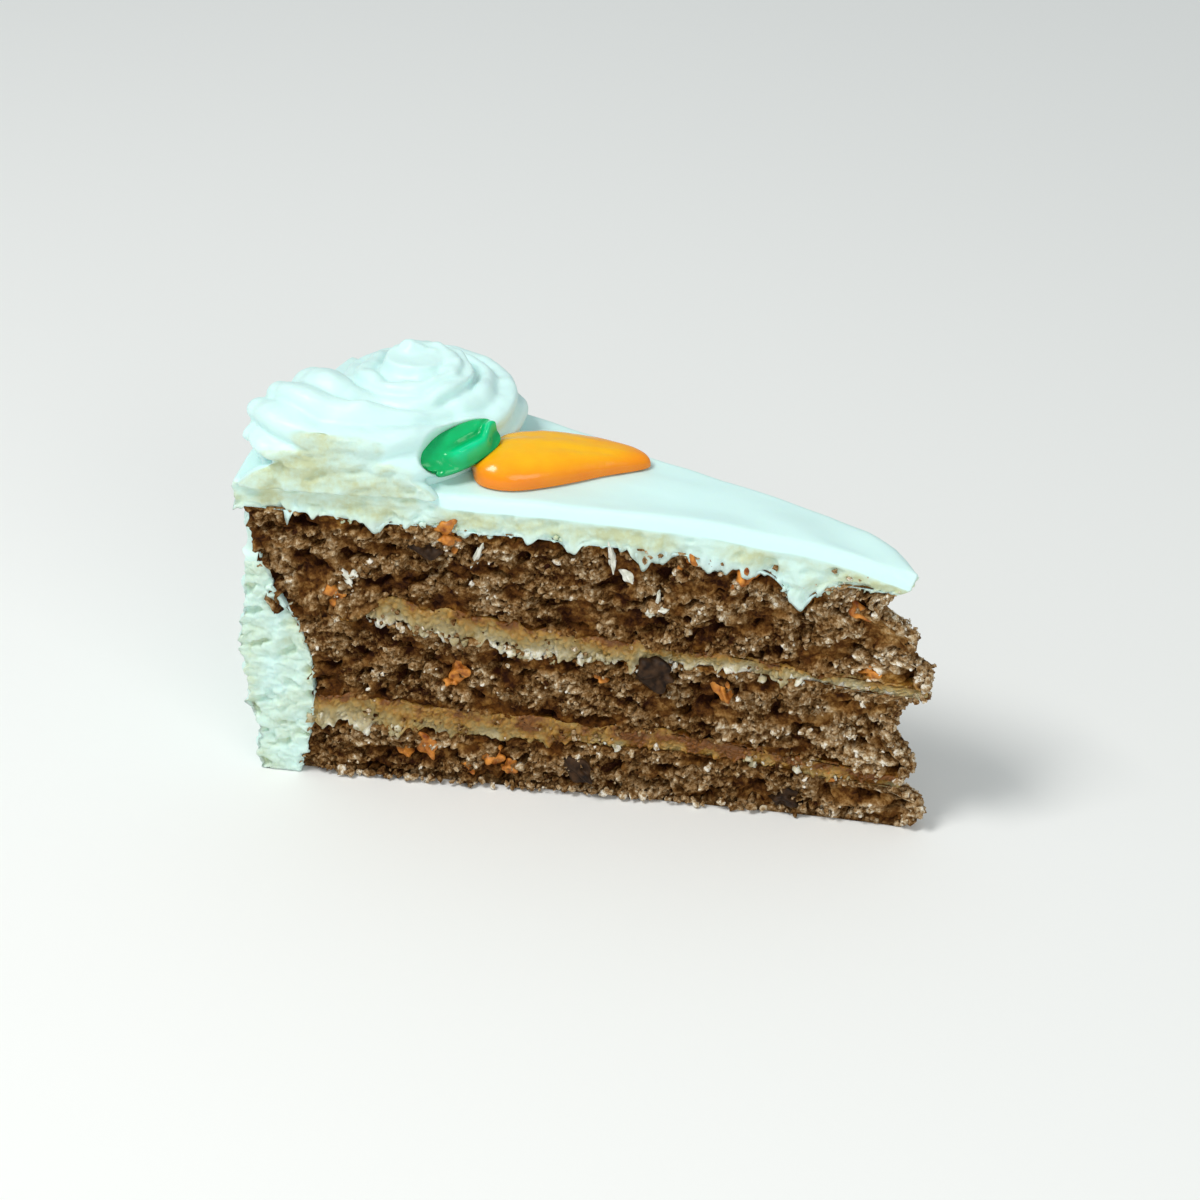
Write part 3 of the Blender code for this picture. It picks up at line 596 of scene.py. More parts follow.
def filling(name, node, low, high, white):
    """white is how much of the lower edge shows white grains, at WHITE_STATIONS."""
    piece = grid_block(name, (24, 20), (6,), (18,))
    r, side, z, w, _, _ = between_faces(piece, low, high)
    on_cut = np.abs(side) > SIDE_REACH
    cut_r, cut_z, cut_w = r[on_cut], z[on_cut], w[on_cut]
    seed = 20.0 * side[on_cut] + low[-1]
    # Grains hang down from the lower edge and stand a little proud of the crumb.
    sag = 1.1 * noise_at(cut_r / 4.0, seed, 3.0) + 0.8 * noise_at(cut_r / 1.3, seed, 5.0)
    sag = np.clip(sag + 0.7 * np.interp(cut_r, WHITE_STATIONS, white) - 0.45, -0.4, 1.0)
    hang = (1.0 - cut_w) ** 2
    rise = 2.0 * noise_at(cut_r / 3.4, seed, 7.0) * cut_w**3
    border, _ = cells_at(cut_r / 1.5, cut_z / 1.1, seed)
    out = np.zeros_like(r)
    out[on_cut] = (
        crag(cut_r, cut_z, np.sign(side[on_cut]), 0.8)
        + 0.6 * noise_at(cut_r / 3.5, cut_z / 1.6, seed)
        + 0.7 * (smooth_step(0.0, 0.5, border) - 0.5)
        + 0.3 * noise_at(cut_r / 0.7, cut_z / 0.6, seed)
        + 0.9 * sag * hang
        - 0.45
    )
    if low is MIDDLE_TOP:
        out[on_cut] -= 1.5 * smooth_step(*COVERED_FILLING, cut_r) * (side[on_cut] < 0.0)
    drop = np.zeros_like(r)
    drop[on_cut] = FILLING_SAG * sag * hang - rise
    places = on_wedge(r, side, z - drop, out * smooth_step(0.0, 2.0, r))
    places[:, 0] += 0.8 * noise_at(side * 2.0, z / 1.4, 83.0) * np.exp(-r / 2.5) * MM
    move_vertices(piece, places)
    # Where few white grains show, the band's lower edge takes the tan of its middle, and there the
    # lower filling is browner than the upper one.
    plain = 1.0 - np.interp(r, WHITE_STATIONS, white)
    patchy = 0.5 * noise_at(r / 3.0, side, low[-1])
    browner = LOWER_BROWNER if low is BOTTOM_TOP else UPPER_BROWNER
    shown = w + (0.45 * plain + patchy) * (1.0 - w) ** 2 + browner * plain
    paint(piece, "band", np.clip(shown, 0.0, 1.0))
    finish_piece(piece, filling_finish, node)


LOWER_WHITE = (0.05, 0.05, 0.1, 0.6, 0.9)
UPPER_WHITE = (0.3, 0.5, 0.6, 0.4, 0.0)
filling("lower_filling", "filling_lower", BOTTOM_TOP, LOWER_FILLING_TOP, LOWER_WHITE)
filling("upper_filling", "filling_upper", MIDDLE_TOP, UPPER_FILLING_TOP, UPPER_WHITE)

# %% [markdown]
# ## Cheese icing
# The icing is a whipped cream cheese, soft, white and faintly cool in this light. Its spread surface is
# satin, with a little light passing into it. Where the knife cut it, it is porous and shows patches of
# cream-coloured fat, about 11 mm across. The value "cut" is 1 on those faces and 0 on the spread ones.


# %% The icing material
def whipped_icing(name, warm):
    """warm is how much of the cut face is cream-coloured."""
    material, tree, shader, place = new_finish(name, {
        "IOR": 1.45, "Roughness": 0.42, "Subsurface Weight": 0.3, "Subsurface Radius": (1.0, 0.95, 0.8),
        "Subsurface Scale": 1.5 * MM,
    })
    cut = add_node(tree, "ShaderNodeAttribute", attribute_name="cut").outputs["Fac"]
    patch = add_node(tree, "ShaderNodeTexNoise", {"Vector": place, "Scale": 1 / (11.0 * MM), "Detail": 5.0,
                                                 "Roughness": 0.6})
    pore = add_node(tree, "ShaderNodeTexNoise", {"Vector": place, "Scale": 1 / (1.4 * MM), "Detail": 4.0,
                                                "Roughness": 0.7})
    patches = add_node(tree, "ShaderNodeMapRange", {"Value": patch.outputs["Fac"], "From Min": 0.5 - warm,
                                                    "From Max": 0.72 - warm})
    pores = add_node(tree, "ShaderNodeMapRange", {"Value": pore.outputs["Fac"], "From Min": 0.35,
                                                  "From Max": 0.65, "To Min": 0.6, "To Max": 1.0})
    # Every cut face takes at least 0.22 of the cream colour: in part the cut's own cream, in part painted
    # shade for the cut face, which gets less light than the spread top.
    shown = add_node(tree, "ShaderNodeMath", {0: patches.outputs[0], 1: pores.outputs[0], 2: 0.22},
                     operation="MULTIPLY_ADD")
    on_cut = add_node(tree, "ShaderNodeMath", {0: shown.outputs[0], 1: cut}, operation="MULTIPLY",
                      use_clamp=True)
    colour = add_node(tree, "ShaderNodeMix", {"Factor": on_cut.outputs[0], 6: linear("#d6f7f5"),
                                              7: linear("#c6cfa8")}, data_type="RGBA")
    tree.links.new(colour.outputs[2], shader.inputs["Base Color"])
    fine = add_node(tree, "ShaderNodeTexNoise", {"Vector": place, "Scale": 1 / (3.0 * MM), "Detail": 3.0})
    depth = add_node(tree, "ShaderNodeMix", {"Factor": cut, 2: fine.outputs["Fac"], 3: pore.outputs["Fac"]})
    strength = add_node(tree, "ShaderNodeMapRange", {"Value": cut, "To Min": 0.06, "To Max": 0.4})
    bump = add_node(tree, "ShaderNodeBump", {"Height": depth.outputs[0], "Strength": strength.outputs[0],
                                             "Distance": 0.6 * MM})
    tree.links.new(bump.outputs[0], shader.inputs["Normal"])
    return material


icing_finish = whipped_icing("whipped_icing", warm=0.12)
print("made", icing_finish.name)

# %% Build the coat on top
ICING_GRAIN = 2.2
# The last part of the length reaches from the cake's rim to the icing's rim.
RIM_PART = 1.0 / 27.0
# Beside the swirl the rounded edge shrinks to this share, so the edge is almost square.
SQUARE_SHARE = 0.2
# Where icing hangs over the crumb of the front cut: distance from the tip, half width and drop.
SMEARS = (
    (121.0, 0.9, 3.2), (103.0, 2.2, 1.2), (86.0, 1.2, 1.8), (66.0, 2.5, 1.2), (51.5, 1.6, 4.6),
    (48.0, 2.2, 2.6), (38.0, 4.5, 2.4), (30.0, 2.0, 1.2), (19.6, 1.7, 2.4), (7.0, 2.0, 0.8),
)


def icing_cut_relief(r, z, side, grit):
    """How far cut icing stands out: soft lumps and dragged ridges, and packed grains where grit is 1."""
    seed = 20.0 * side + 101.0
    lumps = noise_at(r / 6.0, z / 3.4, seed)
    ridges = noise_at(r / 3.0, z / 1.3, seed + 2.0)
    dents = smooth_step(0.1, 0.5, noise_at(r / 4.2, z / 2.4, seed + 4.0))
    border, own = cells_at(r / ICING_GRAIN, z / ICING_GRAIN, seed + 6.0)
    grains = (smooth_step(0.0, 0.5, border) - 0.5) * (0.5 + own)
    return crag(r, z, side, 0.5) + 0.7 * lumps + 0.35 * ridges - 0.7 * dents + 0.35 * grit * grains


def icing_coat():
    piece = grid_block("icing_coat", (24, 20), (32,), (24,))
    u, v, w = vertex_places(piece).T
    side = widen(v)
    r = u * STATIONS[-1]
    floor = face_height(CAKE_TOP, r, side) - OVERLAP
    floor_rim = outline_at(CAKE_RIM, floor) / STATIONS[-1]
    to_rim = smooth_step(1.0 - RIM_PART, 1.0, u)
    reach = r * floor_rim + (TOP_ICING_RIM - STATIONS[-1] * floor_rim) * to_rim
    half_width = reach * math.sin(SLICE_ANGLE / 2) + TIP_WIDTH
    # The front edge is square beside the swirl, where the knife went through both.
    square = 1.0 - (1.0 - SQUARE_SHARE) * smooth_step(*SQUARE_EDGE, reach)
    edge = TOP_ICING_EDGE * np.where(side > 0.0, BACK_EDGE_SHARE, square)
    to_edge = np.minimum(half_width * (1.0 - np.abs(side)), TOP_ICING_RIM - reach)
    to_edge = np.maximum(np.minimum(to_edge, reach + edge / 2), 0.0)
    rounding = np.maximum(1.0 - to_edge / edge, 0.0) ** 2 * edge
    spread = 0.12 * noise_at(reach / 9.0, side * half_width / 3.0, 8.0)
    ceiling = icing_height(reach, side) - rounding + spread
    z = floor + (ceiling - floor) * w
    on_cut = np.abs(side) > SIDE_REACH
    cut_r, cut_z, cut_w, cut_side = reach[on_cut], z[on_cut], w[on_cut], np.sign(side[on_cut])
    jag = 1.1 * noise_at(cut_r / 3.0, cut_side, 107.0) + 0.6 * noise_at(cut_r / 1.2, cut_side, 109.0)
    jag = 1.5 * np.clip(jag, -0.3, 1.0)
    for at, width, drop_by in SMEARS:
        jag += drop_by * np.exp(-(((cut_r - at) / width) ** 2)) * (cut_side < 0.0)
    hang = (1.0 - cut_w) ** 3
    grit = smooth_step(0.75, 0.2, cut_w)
    out = np.zeros_like(r)
    # The cut runs on into the swirl's cut beside it, and elsewhere it ends at the spread top.
    open_edge = np.where(side > 0.0, 1.0, (square - SQUARE_SHARE) / (1.0 - SQUARE_SHARE))
    cut_open = open_edge[on_cut]
    out[on_cut] = icing_cut_relief(cut_r, cut_z, cut_side, grit) * (1.0 - cut_open * cut_w**6)
    out[on_cut] += 0.5 * np.clip(jag, 0.0, 1.5) * hang
    drop = np.zeros_like(r)
    drop[on_cut] = jag * hang
    places = on_wedge(reach, side, z - drop, out * smooth_step(0.0, 3.0, reach))
    tip_lumps = noise_at(side * 2.0, z / 1.6, 113.0) * np.exp(-reach / 3.0) * (w < 0.95)
    places[:, 0] += 0.9 * tip_lumps * MM
    # The knife that smoothed the rim left long shallow swipes.
    rim_swipes = 0.5 * noise_at(side * 4.0, z / 2.2, 117.0) + 0.3 * noise_at(side * 14.0, z / 1.2, 119.0)
    places[:, 0] += rim_swipes * to_rim**3 * (1.0 - w**8) * MM
    move_vertices(piece, places)
    cream_and_shade = np.where(on_cut | (u == 0.0), 1.0 - open_edge * w**8, 0.0)
    cream_and_shade[on_cut] *= 1.0 - 0.5 * smooth_step(0.4, 0.1, cut_w)
    paint(piece, "cut", cream_and_shade)
    finish_piece(piece, icing_finish, "icing_top")


icing_coat()

# %% [markdown]
# ## The icing on the rim
# The coat on the rim was spread with less care, and crumbs and coconut have stiffened it, so its cut face
# looks like packed snow and its outside has small torn peaks. It is thick below and thins to a film above.
# At the front cut that film has come away.

# %% Build the coat on the rim
HALF_RIM_WAY = 28.0
LEAST_RIM_COAT = 1.4
rim_finish = whipped_icing("rim_icing", warm=0.14)


def rim_coat():
    piece = grid_block("rim_coat", (36,), (10, 8), (14, 12))
    u, v, w = vertex_places(piece).T
    side = widen(v)
    bare = 1.0 - smooth_step(0.0, BARE_RIM_SHARE, (side + 1.0) / 2.0)
    full_top = face_height(CAKE_TOP, np.full_like(side, STATIONS[-1]), side) + OVERLAP
    z = (full_top - (full_top - BARE_RIM_TOP) * bare) * w
    on_cut = np.abs(side) > SIDE_REACH
    inner = outline_at(CAKE_RIM, z) - 0.6 + np.where(on_cut, rim_wander(z, side), 0.0)
    swipe = 0.5 * noise_at(side * 2.5, z / 9.0, 7.0)
    outer = np.maximum(outline_at(SIDE_ICING_RIM, z) + swipe, inner + LEAST_RIM_COAT)
    # Small torn peaks and packed grains cover the outside.
    round_way = side * HALF_RIM_WAY
    peaks = 2.4 * np.maximum(noise_at(round_way / 3.5, z / 2.4, 121.0) - 0.05, 0.0)
    border, own = cells_at(round_way / 3.2, z / 2.4, 127.0)
    grains = 0.25 * (smooth_step(0.0, 0.6, border) - 0.4) * (0.5 + own)
    grains = grains + 0.35 * noise_at(round_way / 1.1, z / 0.9, 129.0)
    outside = (peaks + grains - 0.4) * smooth_step(0.6, 1.0, u) * smooth_step(0.0, 0.02, w)
    r = inner + (outer - inner) * u + outside
    cut_r, cut_z, cut_side = r[on_cut], z[on_cut], np.sign(side[on_cut])
    stirred = cut_r + 1.2 * noise_at(cut_r / 2.6, cut_z / 2.6, 133.0)
    snow_border, snow_own = cells_at(stirred / 3.4, cut_z / 2.3, 131.0 + cut_side)
    snow = (smooth_step(0.0, 0.6, snow_border) - 0.4) * (0.5 + snow_own)
    snow = snow + 0.5 * noise_at(cut_r / 1.1, cut_z / 0.9, 135.0)
    hollow = smooth_step(0.1, 0.45, noise_at(cut_r / 4.0, cut_z / 2.6, 137.0 + cut_side))
    out = np.zeros_like(r)
    out[on_cut] = (
        crag(cut_r, cut_z, cut_side, 0.7) + 0.4 * snow - 1.2 * hollow
        + 0.5 * noise_at(cut_r / 2.8, cut_z / 2.0, 141.0)
        + 0.25 * noise_at(cut_r / 0.8, cut_z / 0.8, 139.0)
    )
    wobble = np.where(on_cut, 0.45 * noise_at(r / 1.2, z / 1.2, 149.0), 0.0)
    move_vertices(piece, on_wedge(r + wobble, side, np.maximum(z + wobble, 0.0), out))
    # The rim's cut is cream-coloured, and its hollows are painted darker and creamier as painted shade.
    cream_and_shade = np.full_like(r, 0.25)
    cream_and_shade[on_cut] = 0.6 + 0.4 * hollow
    paint(piece, "cut", cream_and_shade)
    finish_piece(piece, rim_finish, "icing_side")


rim_coat()

# %% [markdown]
# ## The piped swirl
# A star nozzle pressed out one thick rope of icing, which goes almost twice round as it winds up to a
# peak. The rope starts as a cylinder. Its length is divided, its circle gets nine flutes, and each ring
# is placed along the spiral, small at the start and wider than high there. A cone fills the middle, and a
# flat lump is where the soft icing spread into the corner. A voxel remesh makes them one skin, as the
# icing flowed together. Two bisecting planes cut it as the knife did, and a third makes its flat base.

# %% Place the rope
# Angle in degrees, distance from the middle, height over the seat, radius, and how much wider than high.
SWIRL_ROPE = (
    (210.0, 25.4, 5.2, 2.5, 1.4), (212.0, 25.0, 6.2, 7.4, 1.4), (217.0, 24.0, 7.0, 9.4, 1.38),
    (237.0, 20.6, 6.0, 10.2, 1.25), (265.0, 16.4, 4.8, 9.8, 1.1), (310.0, 10.8, 4.2, 8.3, 1.0),
    (368.0, 11.6, 4.4, 8.6, 1.0), (414.0, 12.8, 4.4, 8.0, 1.0), (456.0, 13.2, 4.6, 7.8, 1.0),
    (498.0, 12.4, 5.4, 7.6, 1.0), (538.0, 10.8, 6.8, 7.5, 1.0), (589.0, 9.2, 8.4, 7.3, 1.0),
    (655.0, 6.6, 9.4, 6.8, 1.0), (732.0, 5.2, 11.0, 6.0, 1.0), (799.0, 4.8, 12.8, 5.2, 1.0),
    (840.0, 4.6, 14.8, 3.8, 1.0), (875.0, 4.7, 18.2, 1.6, 1.0),
)
SWIRL_FLUTES = 9
FLUTE_DEPTH = 0.21
ROPE_VOXEL = 0.42 * MM
SWIRL_CORE_FOOT = 12.0
SWIRL_CORE_TOP = 5.5
SWIRL_CORE_HEIGHT = 18.0
SWIRL_CORE_SHIFT = (-1.8, 0.9)
SWIRL_SINK = 0.6
# The swirl's cuts meet this far beyond the tip, so they lie just outside the cake's own.
CUT_TIP = 1.5
SWIRL_FOOT_PLACE = (-108.5, -22.8, 60.4)
SWIRL_FOOT_SIZE = (22.0, 7.4, 12.6)


def curve_at(places, values, at):
    """A smooth curve through stations of its own, which may lie unevenly."""
    places = np.array(places)
    values = np.array(values)
    slopes = np.gradient(values, places)
    i = np.clip(np.searchsorted(places, at) - 1, 0, len(places) - 2)
    span = places[i + 1] - places[i]
    return between_stations(values, slopes, i, span, (at - places[i]) / span)


def rope_middle(degrees):
    """The rope's middle in millimetres, its radius and how much wider than high it is."""
    places, *columns = zip(*SWIRL_ROPE)
    distance, height, radius, widening = (curve_at(places, column, degrees) for column in columns)
    turn = np.radians(degrees)
    x = TIP_X + SWIRL_X + distance * np.cos(turn)
    y = SWIRL_Y + distance * np.sin(turn)
    return np.stack((x, y, SWIRL_SEAT + height), axis=-1), radius, widening


def swirl_rope():
    select_nothing()
    bpy.ops.mesh.primitive_cylinder_add(vertices=108, radius=1.0, depth=1.0, location=(0.0, 0.0, 0.5))
    rope = bpy.context.object
    rope.name = "swirl"
    bpy.ops.object.transform_apply(location=True)
    for parts in (16, 16):
        divide_along(rope, 2, parts)
    a, b, share = vertex_places(rope).T
    first, last = SWIRL_ROPE[0][0], SWIRL_ROPE[-1][0]
    # The rings crowd together at the start, where the rope swells fast.
    degrees = first + (last - first) * share**1.3
    middle, radius, widening = rope_middle(degrees)
    ahead = rope_middle(np.minimum(degrees + 1.0, last))[0]
    behind = rope_middle(np.maximum(degrees - 1.0, first))[0]
    run = ahead - behind
    run /= np.linalg.norm(run, axis=1, keepdims=True)
    sideways = np.cross(run, (0.0, 0.0, 1.0))
    sideways /= np.linalg.norm(sideways, axis=1, keepdims=True)
    upwards = np.cross(sideways, run)
    turn = np.arctan2(b, a)
    # The nozzle's teeth left flutes, and each wanders and swells a little along the rope.
    wander = 0.25 * noise_at(degrees / 40.0, a, b)
    swell = 1.0 + 0.09 * noise_at(degrees / 22.0, 2.0 * a, 2.0 * b)
    reach = radius * swell * (1.0 - FLUTE_DEPTH * (1.0 - np.abs(np.cos((turn + wander) * SWIRL_FLUTES / 2))))
    wide = (reach * widening * np.cos(turn))[:, None]
    high = (reach * np.sin(turn))[:, None]
    ring = middle + wide * sideways + high * upwards
    move_vertices(rope, ring * MM)
    return rope


rope = swirl_rope()
print("rope placed,", len(rope.data.vertices), "vertices")


# %% Make one skin and cut it
def apply_modifier(piece, kind, **settings):
    bpy.context.view_layer.objects.active = piece
    change = piece.modifiers.new(kind.lower(), kind)
    for name, value in settings.items():
        setattr(change, name, value)
    bpy.ops.object.modifier_apply(modifier=change.name)


def bisect_away(piece, point, normal):
    """Cuts off what lies on the side that the normal points to, and closes the cut."""
    bpy.context.view_layer.objects.active = piece
    bpy.ops.object.mode_set(mode="EDIT")
    bpy.ops.mesh.select_all(action="SELECT")
    bpy.ops.mesh.bisect(plane_co=point, plane_no=normal, use_fill=True, clear_outer=True)
    bpy.ops.object.mode_set(mode="OBJECT")


def dress_swirl(rope):
    middle = Vector((TIP_X + SWIRL_X, SWIRL_Y, SWIRL_SEAT)) * MM
    bpy.ops.mesh.primitive_uv_sphere_add(
        segments=48, ring_count=24, radius=1.0, location=Vector((TIP_X, 0.0, 0.0)) * MM
        + Vector(SWIRL_FOOT_PLACE) * MM, rotation=(0.0, 0.0, SLICE_ANGLE / 2),
        scale=Vector(SWIRL_FOOT_SIZE) * MM,
    )
    foot = bpy.context.object
    bpy.ops.mesh.primitive_cone_add(
        vertices=48, radius1=SWIRL_CORE_FOOT * MM, radius2=SWIRL_CORE_TOP * MM, depth=SWIRL_CORE_HEIGHT * MM,
        location=middle + Vector((*SWIRL_CORE_SHIFT, SWIRL_CORE_HEIGHT / 2 - 1.0)) * MM,
    )
    core = bpy.context.object
    select_nothing()
    for part in (core, foot, rope):
        part.select_set(True)
    bpy.context.view_layer.objects.active = rope
    bpy.ops.object.join()
    bpy.ops.object.transform_apply(location=True, rotation=True, scale=True)
    apply_modifier(rope, "REMESH", mode="VOXEL", voxel_size=ROPE_VOXEL)
    half = SLICE_ANGLE / 2
    tip = Vector((TIP_X + CUT_TIP, 0.0, 0.0)) * MM
    for way in (-1.0, 1.0):
        edge = tip + Vector((0.0, way * TIP_WIDTH / 2 * MM, 0.0))
        bisect_away(rope, edge, (math.sin(half), way * math.cos(half), 0.0))
    bisect_away(rope, (0.0, 0.0, (SWIRL_SEAT - SWIRL_SINK) * MM), (0.0, 0.0, -1.0))
    apply_modifier(rope, "REMESH", mode="VOXEL", voxel_size=ROPE_VOXEL)
    return rope


swirl = dress_swirl(rope)
print("swirl cut,", len(swirl.data.vertices), "vertices")


# %% Roughen the swirl's cut faces
def roughen_swirl(piece):
    places = vertex_places(piece) / MM
    half = SLICE_ANGLE / 2
    along = TIP_X + CUT_TIP - places[:, 0]
    flat = np.zeros(len(places))
    for way in (-1.0, 1.0):
        depth = (along * math.tan(half) + TIP_WIDTH / 2 - way * places[:, 1]) * math.cos(half)
        near = 1.0 - smooth_step(0.2, 1.2, depth)
        touched = near > 0.0
        relief = icing_cut_relief(along[touched] - CUT_TIP, places[touched, 2], way, 0.35)
        places[touched, 1] += way * relief * near[touched]
        flat = np.maximum(flat, near)
    # Very soft dents and small folds keep the ridges from looking turned on a lathe.
    dents = noise_at(places[:, 0] / 6.0, places[:, 1] / 6.0, places[:, 2] / 6.0)
    folds = noise_at(places[:, 0] / 2.4, places[:, 1] / 2.4, places[:, 2] / 1.6)
    places[:, 2] += (0.5 * dents + 0.18 * folds) * smooth_step(0.0, 3.0, places[:, 2] - SWIRL_SEAT)
    move_vertices(piece, press_under_leaf(places) * MM)
    paint(piece, "cut", flat)
    finish_piece(piece, icing_finish, "piped_swirl")


print("the front cut of the swirl reaches", round(float(vertex_places(swirl)[:, 1].min()) / MM, 2), "mm")

# %% [markdown]
# ## Coloured piping icing
# The carrot and its leaf are piped from a firmer icing with food colour in it. It dries to a smooth, waxy
# gloss. Light is painted into the colour: the orange is painted yellower on its top and deeper along its
# foot, and the green is painted lighter on its top and on its raised lobes.


# %% The coloured icing material
def piping_icing(name, stops, roughness, gloss):
    material, tree, shader, place = new_finish(name, {
        "IOR": 1.47, "Roughness": roughness, "Specular IOR Level": gloss, "Subsurface Weight": 0.15,
        "Subsurface Radius": (1.0, 0.6, 0.3), "Subsurface Scale": 1.0 * MM,
    })
    # This value paints light into the colour: where it is high the icing is painted lighter.
    painted_light = add_node(tree, "ShaderNodeAttribute", attribute_name="painted_light").outputs["Fac"]
    streak = add_node(tree, "ShaderNodeTexNoise", {"Vector": place, "Scale": 1 / (5.0 * MM), "Detail": 3.0})
    share = add_node(tree, "ShaderNodeMath", {0: streak.outputs["Fac"], 1: 0.5, 2: -0.25},
                     operation="MULTIPLY_ADD")
    varied = add_node(tree, "ShaderNodeMath", {0: painted_light, 1: share.outputs[0]}, operation="ADD",
                      use_clamp=True)
    colour = add_node(tree, "ShaderNodeValToRGB", {"Fac": varied.outputs[0]}, stops=stops)
    tree.links.new(colour.outputs["Color"], shader.inputs["Base Color"])
    skin = add_node(tree, "ShaderNodeTexNoise", {"Vector": place, "Scale": 1 / (1.2 * MM), "Detail": 2.0})
    bump = add_node(tree, "ShaderNodeBump", {"Height": skin.outputs["Fac"], "Strength": 0.12,
                                             "Distance": 0.4 * MM})
    tree.links.new(bump.outputs[0], shader.inputs["Normal"])
    return material


orange_finish = piping_icing("orange_piping", (
    (0.0, "#f48600"), (0.35, "#fb9600"), (0.75, "#fcac00"), (1.0, "#fcbc08"),
), roughness=0.2, gloss=0.55)
green_finish = piping_icing("green_piping", (
    (0.0, "#009a50"), (0.4, "#00bc70"), (0.8, "#00d08a"), (1.0, "#0ce0a6"),
), roughness=0.16, gloss=0.42)
print("made", orange_finish.name, "and", green_finish.name)

# %% [markdown]
# ## The piped carrot
# One squeeze of the bag leaves a drop that is blunt where it starts and thin where it is pulled away. It
# starts as a sphere, is drawn out between its two ends and settles on the coat. Faint grooves run along
# it, as the tip of the bag leaves them. What the leaf covers is pressed down first, so that the leaf
# lies on the carrot and on the swirl without cutting through them.

# %% Make room under the leaf
LEAF_CENTRE = Vector((-88.5, -9.8, 72.1))
LEAF_LENGTH = 16.4
LEAF_WIDTH = 8.4
LEAF_THICKNESS = 2.2
LEAF_TURN = math.radians(50.0)
LEAF_RISE = math.radians(15.0)
LEAF_TILT = math.radians(38.0)
LEAF_ROLL = 2.5
BACK_LOBE = 0.7
LEAF_CREASE = 0.6
LEAF_SKEW = 1.8
LEAF_LAY = (
    Matrix.Translation(LEAF_CENTRE + Vector((TIP_X, 0.0, 0.0)))
    @ Matrix.Rotation(LEAF_TURN, 4, "Z")
    @ Matrix.Rotation(-LEAF_RISE, 4, "Y")
    @ Matrix.Rotation(LEAF_TILT, 4, "X")
)


def press_under_leaf(places):
    """Pushes what the leaf covers down to the middle of the leaf. Places are in millimetres."""
    lay = np.array(LEAF_LAY.to_3x3())
    own = (places - np.array(LEAF_LAY.translation)) @ lay
    across = (own[:, 0] / (LEAF_LENGTH / 2)) ** 2 + (own[:, 1] / (LEAF_WIDTH / 2)) ** 2
    covered = (across < 1.3) & (own[:, 2] > -4.0)
    share = smooth_step(1.3, 0.8, across) * covered
    own[:, 2] -= share * np.maximum(own[:, 2] + 0.9, 0.0)
    return own @ lay.T + np.array(LEAF_LAY.translation)


print("the leaf covers", round(LEAF_LENGTH * LEAF_WIDTH * math.pi / 4), "mm2")

# %% Shape the carrot
CARROT_BLUNT_END = np.array((-86.8, -7.8))
CARROT_POINT = np.array((-55.8, 8.0))
CARROT_WIDTH = 17.6
CARROT_HEIGHT = 5.8
FRONT_CROWD = 1.75
BACK_CROWD = 1.15
FRONT_TAPER = 0.5
BACK_TAPER = 0.14
CARROT_ROUNDNESS = 0.62


def dress_carrot():
    select_nothing()
    bpy.ops.mesh.primitive_uv_sphere_add(segments=128, ring_count=64, radius=1.0)
    piece = bpy.context.object
    piece.name = "orange_carrot"
    width, along, height = vertex_places(piece).T
    # The front side is widest near the blunt end, and the back side stays wide almost to the point.
    back_share = 0.5 + 0.5 * width / np.maximum(np.sqrt(1.0 - along**2), 0.001)
    t = np.maximum((along + 1.0) / 2.0, 0.0) ** (FRONT_CROWD + (BACK_CROWD - FRONT_CROWD) * back_share)
    taper = 1.0 - (FRONT_TAPER + (BACK_TAPER - FRONT_TAPER) * back_share) * smooth_step(0.1, 0.9, t)
    run = CARROT_POINT - CARROT_BLUNT_END
    across = np.array((-run[1], run[0])) / np.linalg.norm(run)
    place = CARROT_BLUNT_END + run * t[:, None] + across * (width * CARROT_WIDTH / 2 * taper)[:, None]
    r = np.hypot(place[:, 0], place[:, 1])
    side = np.arctan2(place[:, 1], -place[:, 0]) / (SLICE_ANGLE / 2)
    lift = CARROT_HEIGHT * (0.3 + 0.7 * taper) * np.maximum(height, 0.0) ** CARROT_ROUNDNESS
    # Grooves from the tip of the bag run along it, and small ripples cross it.
    grooves = 0.25 * noise_at(width * 3.0, t * 1.6, 3.0) + 0.12 * noise_at(width * 4.0, t * 16.0, 5.0)
    grooves = grooves * smooth_step(0.1, 0.6, height)
    bottom = 0.7 * np.minimum(height, 0.0)
    z = icing_height(r, side) + 0.5 + lift + bottom + grooves
    places = press_under_leaf(np.stack((TIP_X + place[:, 0], place[:, 1], z), axis=-1))
    move_vertices(piece, places * MM)
    # The top is painted lighter and yellower and the foot deeper orange: painted light and shade.
    paint(piece, "painted_light", smooth_step(-0.1, 1.0, height))
    finish_piece(piece, orange_finish, "piped_carrot")


dress_carrot()
roughen_swirl(swirl)

# %% [markdown]
# ## The piped leaf
# The leaf is a ribbon of green icing that folded over as it was pressed out. Two lobes meet in a shallow
# crease. The back lobe is thinner, and the front one is a smooth roll. One end is torn. A block is shaped
# into the ribbon, and subdivision rounds it.

